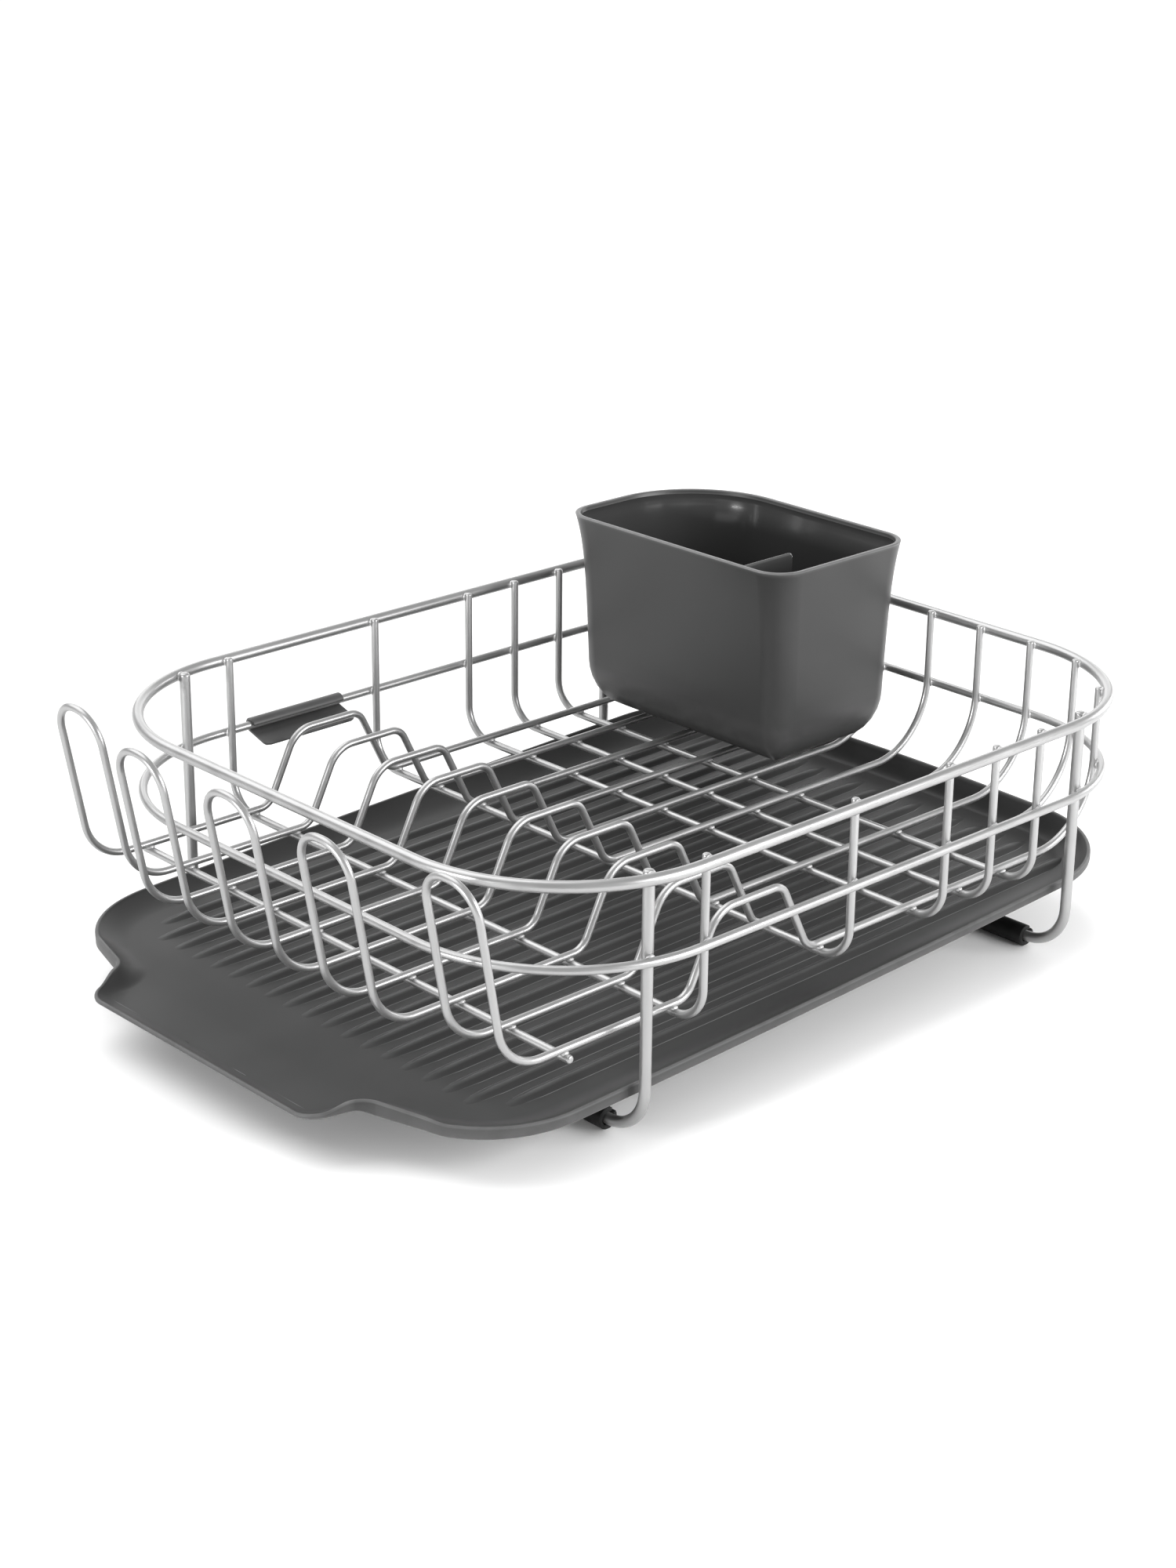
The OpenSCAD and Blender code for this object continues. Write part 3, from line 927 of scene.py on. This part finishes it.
def tray_to_frame(p):
    """From the tray's own lip plane to the rack's frame."""
    c, s = math.cos(TRAY_TILT), math.sin(TRAY_TILT)
    return (p[0] * c - p[2] * s, p[1], TRAY_LIP_Z + p[0] * s + p[2] * c)


def ease(value, low, high):
    """0 below low, 1 above high and a smooth rise between."""
    t = min(1.0, max(0.0, (value - low) / (high - low)))
    return t * t * (3 - 2 * t)


def tray_floor_z(x):
    """Height of the dish's floor under the lip plane."""
    return FLOOR_MID - FLOOR_FALL * x + 1.6 * ease(-x, 225, 262)


def mixed(first, second, share):
    """Each number of one point or lip, moved a share of the way to another's."""
    return [a + (b - a) * share for a, b in zip(first, second)]


def tray_run(start, end, steps, lips, eased=False):
    """The points between the ends of a straight part of the tray's outline."""
    points = []
    for k in range(1, steps):
        share = k / steps
        lip = mixed(*lips, ease(share, 0, 1) if eased else share)
        points.append((*mixed(start, end, share), *lip))
    return points


def tray_bend(centre, r, turns, steps, lips):
    """A round part of the tray's outline, between two turns in degrees."""
    points = []
    for k in range(steps + 1):
        turn = math.radians(turns[0] + (turns[1] - turns[0]) * k / steps)
        place = (centre[0] + r * math.cos(turn), centre[1] + r * math.sin(turn))
        points.append((*place, *mixed(*lips, ease(k / steps, 0, 1))))
    return points


def way_out(degrees):
    """The outward direction at an angle from the tray's spout axis."""
    return (-math.cos(math.radians(degrees)), math.sin(math.radians(degrees)))


def stepped(place, way, distance):
    """A place moved a distance along a direction."""
    return (place[0] + way[0] * distance, place[1] + way[1] * distance)


def tray_half_outline():
    """(x, y, lip height, band, wall width) round the back half, from the high end to the spout."""
    high = (TRAY_END - TRAY_HIGH_R, TRAY_HALF_WIDTH - TRAY_HIGH_R)
    low = (-TRAY_END + TRAY_SPOUT_REACH, TRAY_HALF_WIDTH - TRAY_LOW_R)
    side = ((high[0], TRAY_HALF_WIDTH), (low[0], TRAY_HALF_WIDTH))
    out, away = Vector(way_out(TRAY_NOTCH_DEG)), way_out(TRAY_SPOUT_DEG)
    neck = Vector(low) + TRAY_LOW_R * out
    neck_end = neck + Vector((-out.y, out.x)) * TRAY_NECK
    notch = neck_end + TRAY_NOTCH_R * out
    notch_end = stepped(notch, away, -TRAY_NOTCH_R)
    spout_x = -TRAY_END + TRAY_SPOUT_R
    reach = notch_end[0] * away[0] + notch_end[1] * away[1] - TRAY_SPOUT_R
    spout = (spout_x, (reach - spout_x * away[0]) / away[1])
    spout_side = (notch_end, stepped(spout, away, TRAY_SPOUT_R))
    notch_turns = (-TRAY_NOTCH_DEG, -TRAY_SPOUT_DEG)
    spout_turns = (180 - TRAY_SPOUT_DEG, 180)
    return (
        [(TRAY_END, 0.0, *HIGH_END)]
        + tray_run((TRAY_END, 0.0), (TRAY_END, high[1]), 10, (HIGH_END, HIGH_END))
        + tray_bend(high, TRAY_HIGH_R, (0, 90), 24, (HIGH_END, SIDE_HIGH))
        + tray_run(*side, 24, (SIDE_HIGH, SIDE_LOW))
        + tray_bend(low, TRAY_LOW_R, (90, 150), 18, (SIDE_LOW, LOW_CORNER))
        + tray_bend(low, TRAY_LOW_R, (150, 180 - TRAY_NOTCH_DEG), 8, (LOW_CORNER, NECK))
        + tray_run(neck, neck_end, 5, (NECK, NOTCH))
        + tray_bend(notch, TRAY_NOTCH_R, notch_turns, 12, (NOTCH, NOTCH_END))
        + tray_run(*spout_side, 8, (NOTCH_END, SPOUT_SIDE), eased=True)
        + tray_bend(spout, TRAY_SPOUT_R, spout_turns, 10, (SPOUT_SIDE, SPOUT_EDGE))
        + tray_run((-TRAY_END, spout[1]), (-TRAY_END, 0.0), 12, (SPOUT_EDGE, SPOUT_EDGE))
        + [(-TRAY_END, 0.0, *SPOUT_EDGE)]
    )


def bowed(x, y):
    """The outline's slight bow: the high end and both sides curve outwards a little."""
    turn = min(abs(y), 150.0) / 150.0 * math.pi
    pull = TRAY_BOW * (1 - math.cos(turn)) / 2 * ease(x, 60, 240)
    return x - pull, y * (1 - 0.014 * (max(-200.0, x - 20) / 245) ** 2)


def tray_outline():
    """The bowed outline's back half, and the whole of it."""
    half = []
    for x, y, *lip in tray_half_outline():
        point = (*bowed(x, y), *lip)
        if not half or math.dist(point[:2], half[-1][:2]) > 0.4:
            half.append(point)
    mirrored = [(p[0], -p[1], *p[2:]) for p in reversed(half) if p[1] > 1e-6]
    return half, half + mirrored


def inward_normals(outline):
    """The way in from each point of a closed outline."""
    normals = []
    count = len(outline)
    for i in range(count):
        a, b = outline[i - 1], outline[(i + 1) % count]
        tx, ty = b[0] - a[0], b[1] - a[1]
        size = math.hypot(tx, ty)
        normals.append((-ty / size, tx / size))
    return normals


def lip_profile():
    """(step inwards, rise, 1 from the band's foot or 0 from the lip's top), over the edge."""
    profile = [(1.9, 0.0, 1), (0.5, 0.0, 1), (0.12, 0.35, 1), (0.0, 0.8, 1)]
    outer_r, inner_r = 1.1, 0.9
    for turn in map(math.radians, (0, 22, 45, 67, 90)):
        profile.append((outer_r * (1 - math.cos(turn)), -outer_r * (1 - math.sin(turn)), 0))
    for turn in map(math.radians, (30, 60)):
        profile.append((1.3 + inner_r * math.sin(turn), -inner_r * (1 - math.cos(turn)), 0))
    return profile


def tray_rings(outline):
    """Lines round the tray: over the lip, down the dish, and back up its underside."""
    edges = list(zip(outline, inward_normals(outline)))
    rings = []
    for step, rise, foot in lip_profile():
        rings.append(
            [
                (x + nx * step, y + ny * step, lip - band * foot + rise)
                for (x, y, lip, band, _), (nx, ny) in edges
            ]
        )
    shares = [k / DISH_STEPS for k in range(DISH_STEPS + 1)]
    dish = [(share, 0.0) for share in shares[1:]] + [(share, TRAY_WALL) for share in shares[::-1]]
    for share, sunk in dish:
        ring = []
        for (x, y, lip, _, width), (nx, ny) in edges:
            step = LIP_WIDTH + width * share
            px = x + nx * step
            floor = tray_floor_z(px)
            height = floor + (lip - LIP_STEP - floor) * (1 - share) ** 2 - sunk
            ring.append((px, y + ny * step, height))
        rings.append(ring)
    return rings


def build_tray():
    """The dish, as one closed shell."""
    half, outline = tray_outline()
    rings = tray_rings(outline)
    count = len(outline)
    top_rings = len(lip_profile()) + DISH_STEPS
    points = [tray_to_frame(p) for ring in rings for p in ring]
    faces = ring_faces(top_rings, count)
    faces += ring_faces(len(rings) - top_rings, count, top_rings * count)
    # close the section from the underside back to the band's foot
    last = (len(rings) - 1) * count
    for i in range(count):
        j = (i + 1) % count
        faces.append((last + i, last + j, j, i))
    # floor and underside, spanned between each back point and its mirror
    for ring_index in (top_rings - 1, top_rings):
        ring, base = rings[ring_index], ring_index * count
        rows = []
        for i, (x, y, z) in enumerate(ring[: len(half)]):
            mate = (count - i) % count if half[i][1] > 1e-6 else i
            row = [base + i]
            for k in range(1, FLOOR_SPANS):
                row.append(len(points))
                across = y + (ring[mate][1] - y) * k / FLOOR_SPANS
                points.append(tray_to_frame((x, across, z)))
            rows.append(row + [base + mate])
        for a, b in zip(rows, rows[1:]):
            faces += [(a[k], a[k + 1], b[k + 1], b[k]) for k in range(FLOOR_SPANS)]
    nodes = ("drain_tray",)
    new_piece("tray_dish", points, faces, TRAY_PLASTIC, "tray", nodes, smooth_angle=50)


build_tray()


# Drying ribs

RIB_COUNT = 19
RIB_PITCH = 15.2
RIB_LEFT = -196.0
RIB_RIGHT = 237.5
RIB_RISE = 2.2
RIB_HALF = 5.2
RIB_SUNK = 0.35
RIB_POINTS_ACROSS = 14
# How far each end of a rib takes to rise, and how much shorter the outermost ribs are
RIB_POINTED_RUN = 22
RIB_ROUND_RUN = 16
RIB_OUTER_CUT = 13


def make_rib_tree():
    """Copies of one rib side by side, with the outermost pair shortened."""
    tree, g_in, g_out = new_tree(
        "Drying ribs",
        [
            ("Rib count", "Int"),
            ("Pitch", "Float"),
            ("First place", "Float"),
            ("Outer length", "Float"),
            ("Finish", "Material"),
        ],
    )
    link = tree.links.new
    given = g_in.outputs
    line = tree.nodes.new("GeometryNodeMeshLine")
    line.mode = "OFFSET"
    link(given["Rib count"], line.inputs["Count"])
    link(combine(tree, y=given["First place"]), line.inputs["Start Location"])
    link(combine(tree, y=given["Pitch"]), line.inputs["Offset"])
    index = tree.nodes.new("GeometryNodeInputIndex").outputs[0]
    last = math_node(tree, "SUBTRACT", given["Rib count"], 1.0)
    is_first = math_node(tree, "COMPARE", index, 0.0, 0.5)
    is_last = math_node(tree, "COMPARE", index, last, 0.5)
    is_outer = math_node(tree, "MAXIMUM", is_first, is_last)
    length = stretch(tree, is_outer, 0.0, 1.0, 1.0, given["Outer length"])
    place = tree.nodes.new("GeometryNodeInstanceOnPoints")
    link(line.outputs["Mesh"], place.inputs["Points"])
    link(given["Geometry"], place.inputs["Instance"])
    link(combine(tree, length, 1.0, 1.0), place.inputs["Scale"])
    close_tree(tree, g_in, g_out, place.outputs["Instances"])
    return tree


def one_rib():
    """A low ridge that thins to a point at the spout end, from x = 0 backwards."""
    length = RIB_RIGHT - RIB_LEFT
    stations = [0.0, 1.5, 4, 8, 14, 24, 60, 150, 260, 340, 380, 400, 412, 422, 429]
    stations += [length - 1.5, length]
    points = []
    for s in stations:
        pointed = ease(length - s, 0, RIB_POINTED_RUN)
        rounded = ease(s, 0, RIB_ROUND_RUN)
        rise = RIB_RISE * pointed * rounded
        half = RIB_HALF * (0.7 + 0.3 * pointed) * (0.4 + 0.6 * rounded)
        for k in range(RIB_POINTS_ACROSS + 1):
            v = -1 + 2 * k / RIB_POINTS_ACROSS
            points.append((-s, v * half, rise * (1 - v * v) ** 2 - 0.05))
        points += [(-s, half, -RIB_SUNK), (-s, -half, -RIB_SUNK)]
    return points, capped_faces(len(stations), RIB_POINTS_ACROSS + 3)


def build_ribs():
    """The ribs side by side, laid on the dish's sloping floor."""
    length = RIB_RIGHT - RIB_LEFT
    piece = grow(
        "tray_ribs",
        cleaned_mesh("one_rib", *one_rib(), merge=False),
        make_rib_tree(),
        {
            "Rib count": RIB_COUNT,
            "Pitch": RIB_PITCH * MM,
            "First place": -RIB_PITCH * (RIB_COUNT - 1) / 2 * MM,
            "Outer length": (length - RIB_OUTER_CUT) / length,
            "Finish": TRAY_PLASTIC,
        },
    )
    for vertex in piece.data.vertices:
        x, y, z = (c / MM for c in vertex.co)
        x += RIB_RIGHT
        vertex.co = Vector(tray_to_frame((x, y, z + tray_floor_z(x)))) * MM
    finish_mesh(piece.data, 60)
    settle(piece, "tray")


build_ribs()


def build_tray_feet():
    """Two upright plates under the dish, which hold it at its slope on the leg bars."""
    points, faces = [], []
    half_wall, bevel, end_lift = 1.5, 0.6, 2.5
    edge = BAR_Z + LEG_D / 2 + 0.4
    stations = [-92, -88, -60, -30, 0, 30, 60, 88, 92]
    for centre in (BASKET_X + x for x in LEG_X):
        faces += capped_faces(len(stations), 6, len(points))
        for y in stations:
            low = edge + (end_lift if abs(y) == stations[-1] else 0.0)
            top = tray_to_frame((centre, y, tray_floor_z(centre) - 1.0))[2]
            side = [(half_wall, top), (half_wall, low + bevel), (half_wall - bevel, low)]
            points += [(centre - across, y, z) for across, z in side]
            points += [(centre + across, y, z) for across, z in side[::-1]]
    new_piece("tray_supports", points, faces, TRAY_PLASTIC, "tray")


build_tray_feet()


# ---- cutlery caddy

CADDY_TOP = 184.0
CADDY_FLOOR = FLOOR_Z + PLATE_D / 2 + 0.3
CADDY_WALL = 2.3
CADDY_LIP = 3.2
CADDY_BOTTOM_BOX = (112.0, 206.0, -4.0, 157.0)
CADDY_TOP_BOX = (102.0, 214.0, -10.0, 164.0)
CADDY_CORNER = (14.0, 19.0)
CADDY_BIG = (56.0, 62.0)
CADDY_FILLET = 32.0
CADDY_FILLET_DEG = (0, 12, 24, 36, 48, 60, 72, 82, 90)
CADDY_EDGE = 0.8
CADDY_LIP_FOOT = 2.2
CADDY_MIDDLE = (BASKET_X + 158.0, 77.0)
DRAIN_R = 3.0
DRAIN_X = (140, 160, 180)
DRAIN_Y = (18, 46, 72, 98, 124)
DRAIN_SIDES = 24
DIVIDER_Y = 28.0
DIVIDER_END = 153.0
DIVIDER_TOP = 180.0
DIVIDER_HALF = 0.9


def caddy_share(z):
    """0 at the foot's plan, 1 at the rim's plan: nearly straight, then a flare under the rim."""
    h = (CADDY_TOP - z) / (CADDY_TOP - CADDY_FLOOR)
    straight = 1 - h
    flare = math.exp(-(CADDY_TOP - z) / 20.0)
    return 0.45 * straight + 0.55 * flare


def caddy_ring(z, inset, share=None):
    """The caddy's rounded plan at a height, drawn in by an amount."""
    k = caddy_share(z) if share is None else share
    left, right, front, back = mixed(CADDY_BOTTOM_BOX, CADDY_TOP_BOX, k)
    left, right, front, back = left + inset, right - inset, front + inset, back - inset
    small = max(1.2, CADDY_CORNER[0] + (CADDY_CORNER[1] - CADDY_CORNER[0]) * k - inset)
    big = max(2.0, CADDY_BIG[0] + (CADDY_BIG[1] - CADDY_BIG[0]) * k - inset)
    points = []
    for cx, cy, r, start, steps in (
        (right - small, front + small, small, -90, 10),
        (right - big, back - big, big, 0, 22),
        (left + small, back - small, small, 90, 10),
        (left + small, front + small, small, 180, 10),
    ):
        for i in range(steps + 1):
            turn = math.radians(start + 90 * i / steps)
            points.append((BASKET_X + cx + r * math.cos(turn), cy + r * math.sin(turn), z))
    return points


def caddy_fillet(wall):
    """Rings up the rounded foot, on the outside or a wall's thickness inside it."""
    r = CADDY_FILLET - wall
    rings = []
    for turn in map(math.radians, CADDY_FILLET_DEG):
        z = CADDY_FLOOR + wall + r * (1 - math.cos(turn))
        rings.append(caddy_ring(z, wall + r * (1 - math.sin(turn))))
    return rings


def caddy_rings():
    """Rings from under the floor, up the outside, over the rim and down to the floor inside."""
    foot_top = CADDY_FLOOR + CADDY_FILLET
    flare_from = CADDY_TOP - 42
    heights = [foot_top + (flare_from - foot_top) * k / 4 for k in range(1, 5)]
    heights += [CADDY_TOP - d for d in (34, 27, 21, 16, 12, 8.5, 5.5, 3, 1.2)]
    rings = caddy_fillet(0.0) + [caddy_ring(z, 0.0) for z in heights]
    for turn in map(math.radians, (25, 55, 90)):
        z = CADDY_TOP - CADDY_EDGE * (1 - math.sin(turn))
        rings.append(caddy_ring(z, CADDY_EDGE * (1 - math.cos(turn)), 1.0))
    for turn in map(math.radians, (0, 35, 65, 90)):
        z = CADDY_TOP - CADDY_EDGE * (1 - math.cos(turn))
        rings.append(caddy_ring(z, CADDY_LIP - CADDY_EDGE * (1 - math.sin(turn)), 1.0))
    rings.append(caddy_ring(CADDY_TOP - CADDY_LIP_FOOT, CADDY_LIP))
    rings.append(caddy_ring(CADDY_TOP - CADDY_LIP_FOOT - 0.8, CADDY_WALL + 0.3))
    rings += [caddy_ring(z, CADDY_WALL) for z in reversed(heights) if z < CADDY_TOP - 4]
    return rings + caddy_fillet(CADDY_WALL)[::-1]


def build_caddy():
    """The tub, drilled for its drain holes, with its polished inside."""
    rings = caddy_rings()
    count = len(rings[0])
    points = [p for ring in rings for p in ring]
    faces = capped_faces(len(rings), count)
    shell = add_object("caddy_shell", cleaned_mesh("caddy_shell", points, faces))
    cutter = drain_hole_cutters()
    cut = shell.modifiers.new("Drain holes", "BOOLEAN")
    cut.object = cutter
    cut.operation = "DIFFERENCE"
    cut.solver = "EXACT"
    drilled = baked_mesh(shell, "drilled_caddy")
    shell.modifiers.remove(cut)
    bpy.data.objects.remove(cutter)
    shell.data = drilled
    drilled.materials.clear()
    drilled.materials.append(CADDY_PLASTIC)
    drilled.materials.append(CADDY_INSIDE)
    for polygon in drilled.polygons:
        inside = is_inside_caddy(polygon.center / MM, polygon.normal)
        polygon.material_index = 1 if inside else 0
    finish_mesh(drilled, 40)
    settle(shell, "caddy", ("cutlery_caddy",))


def is_inside_caddy(place, normal):
    """Whether a face of the caddy looks into its hollow."""
    inward = Vector((CADDY_MIDDLE[0] - place.x, CADDY_MIDDLE[1] - place.y, 0.0))
    below_lip = place.z < CADDY_TOP - CADDY_LIP_FOOT
    return below_lip and (normal.dot(inward) > 0 or normal.z > 0.3)


def drain_hole_cutters():
    """Upright pegs through the caddy's floor, one for each drain hole."""
    points, faces = [], []
    for x in DRAIN_X:
        for y in DRAIN_Y:
            faces += capped_faces(2, DRAIN_SIDES, len(points))
            for z in (CADDY_FLOOR - 2, CADDY_FLOOR + CADDY_WALL + 2):
                for i in range(DRAIN_SIDES):
                    turn = 2 * math.pi * i / DRAIN_SIDES
                    across, along = DRAIN_R * math.cos(turn), DRAIN_R * math.sin(turn)
                    points.append((BASKET_X + x + across, y + along, z))
    return add_object("drain_cutters", cleaned_mesh("drain_cutters", points, faces, merge=False))


def build_divider():
    """The divider: a thin plate from the left wall, with rounded edges and an upright end."""
    heights = [CADDY_FLOOR + 1.2, 72, 80, 90, 110, 130, 150, 165, 172, 176, 178.6, 179.7]
    heights.append(DIVIDER_TOP)
    top_round, corner_r = 1.3, 3.0
    points = []
    for z in heights:
        left = mixed(CADDY_BOTTOM_BOX, CADDY_TOP_BOX, caddy_share(z))[0] + CADDY_WALL * 0.5
        low = max(0.0, CADDY_FLOOR + CADDY_FILLET - z)
        near = left + CADDY_FILLET - math.sqrt(max(0.0, CADDY_FILLET**2 - low**2))
        over = max(0.0, z - (DIVIDER_TOP - top_round))
        thin = DIVIDER_HALF * math.sqrt(max(0.06, 1 - (over / top_round) ** 2))
        high = max(0.0, z - DIVIDER_TOP + corner_r)
        far = DIVIDER_END - (corner_r - math.sqrt(max(0.0, corner_r**2 - high**2)))
        side = [
            (near, thin),
            ((near + far) / 2, thin),
            (far - 1.2, thin),
            (far - 0.35, thin * 0.8),
            (far, thin * 0.35),
        ]
        points += [(BASKET_X + x, DIVIDER_Y - w, z) for x, w in side]
        points += [(BASKET_X + x, DIVIDER_Y + w, z) for x, w in side[::-1]]
    faces = capped_faces(len(heights), 10)
    new_piece("caddy_divider", points, faces, CADDY_INSIDE, "caddy", smooth_angle=60)


build_caddy()
build_divider()


# ---- floor, light and camera


def build_floor():
    """A plain pale counter, a hair under the rack's feet."""
    mesh = bpy.data.meshes.new("counter")
    reach, drop = 40.0, 0.0003
    corners = ((-1, -1), (1, -1), (1, 1), (-1, 1))
    mesh.from_pydata([(x * reach, y * reach, -drop) for x, y in corners], [], [(0, 1, 2, 3)])
    material = bpy.data.materials.new("Pale counter")
    material.use_nodes = True
    principled = material.node_tree.nodes["Principled BSDF"]
    principled.inputs["Base Color"].default_value = grey(0.97)
    principled.inputs["Roughness"].default_value = 0.9
    principled.inputs["Specular IOR Level"].default_value = 0.1
    mesh.materials.append(material)
    add_object("counter", mesh)


# Each lamp's (place, target, size, watts)
LAMPS = {
    "back_wall": ((2.1, 2.25, 0.95), (0, 0, 0.1), (3.6, 1.1), 24.0),
    "front_right_fill": ((0.5, -1.35, 0.6), (0, 0, 0.08), (0.9, 0.7), 22.0),
    "left_window": ((-1.94, 0.18, 0.47), (0.23, 0.12, 0.18), (0.4, 0.22), 22.0),
    "right_window": ((2.2, -0.35, 0.55), (0.1, 0.1, 0.15), (1.0, 0.8), 12.0),
}


def facing(back):
    """The turn of a lamp that shines away from a direction."""
    return back.to_track_quat("Z", "Y").to_matrix().to_4x4()


def area_light(name, place, target, size, watts):
    """A soft rectangular lamp."""
    data = bpy.data.lights.new(name, "AREA")
    data.shape = "RECTANGLE"
    data.size, data.size_y = size
    data.energy = watts
    back = (Vector(place) - Vector(target)).normalized()
    add_object(name, data).matrix_world = Matrix.Translation(Vector(place)) @ facing(back)


def build_light():
    """Even studio light: a white surround, a broad sky panel and the lamps."""
    world = bpy.data.worlds.new("Studio")
    bpy.context.scene.world = world
    world.use_nodes = True
    background = world.node_tree.nodes["Background"]
    background.inputs["Color"].default_value = grey(1)
    background.inputs["Strength"].default_value = 0.56
    sun = bpy.data.lights.new("sky_panel", "SUN")
    sun.energy = 1.95
    sun.angle = math.radians(60)
    add_object("sky_panel", sun).matrix_world = facing(Vector((-0.1, 0.7, 1.0)))
    for name, lamp in LAMPS.items():
        area_light(name, *lamp)


# Where the camera stands, in metres, and how it is turned, in radians
CAMERA_PLACE = (-0.9638, -1.0162, 0.6512)
CAMERA_YAW = 0.75776
CAMERA_PITCH = 0.37770
CAMERA_ROLL = 0.010512


def build_camera():
    """The camera at the rack's front left, looking down at it."""
    data = bpy.data.cameras.new("camera")
    data.sensor_fit = "HORIZONTAL"
    data.sensor_width = 36.0
    data.lens = 87.6
    data.clip_end = 100.0
    across, ahead = math.sin(CAMERA_YAW), math.cos(CAMERA_YAW)
    fall = math.cos(CAMERA_PITCH)
    forward = Vector((across * fall, ahead * fall, -math.sin(CAMERA_PITCH)))
    level = Vector((ahead, -across, 0))
    up = level.cross(forward)
    right = math.cos(CAMERA_ROLL) * level + math.sin(CAMERA_ROLL) * up
    upward = -math.sin(CAMERA_ROLL) * level + math.cos(CAMERA_ROLL) * up
    turned = Matrix((right, upward, -forward)).transposed().to_4x4()
    camera = add_object("camera", data)
    camera.matrix_world = Matrix.Translation(Vector(CAMERA_PLACE)) @ turned
    bpy.context.scene.camera = camera


build_floor()
build_light()
build_camera()
bpy.context.scene.view_settings.view_transform = "Standard"
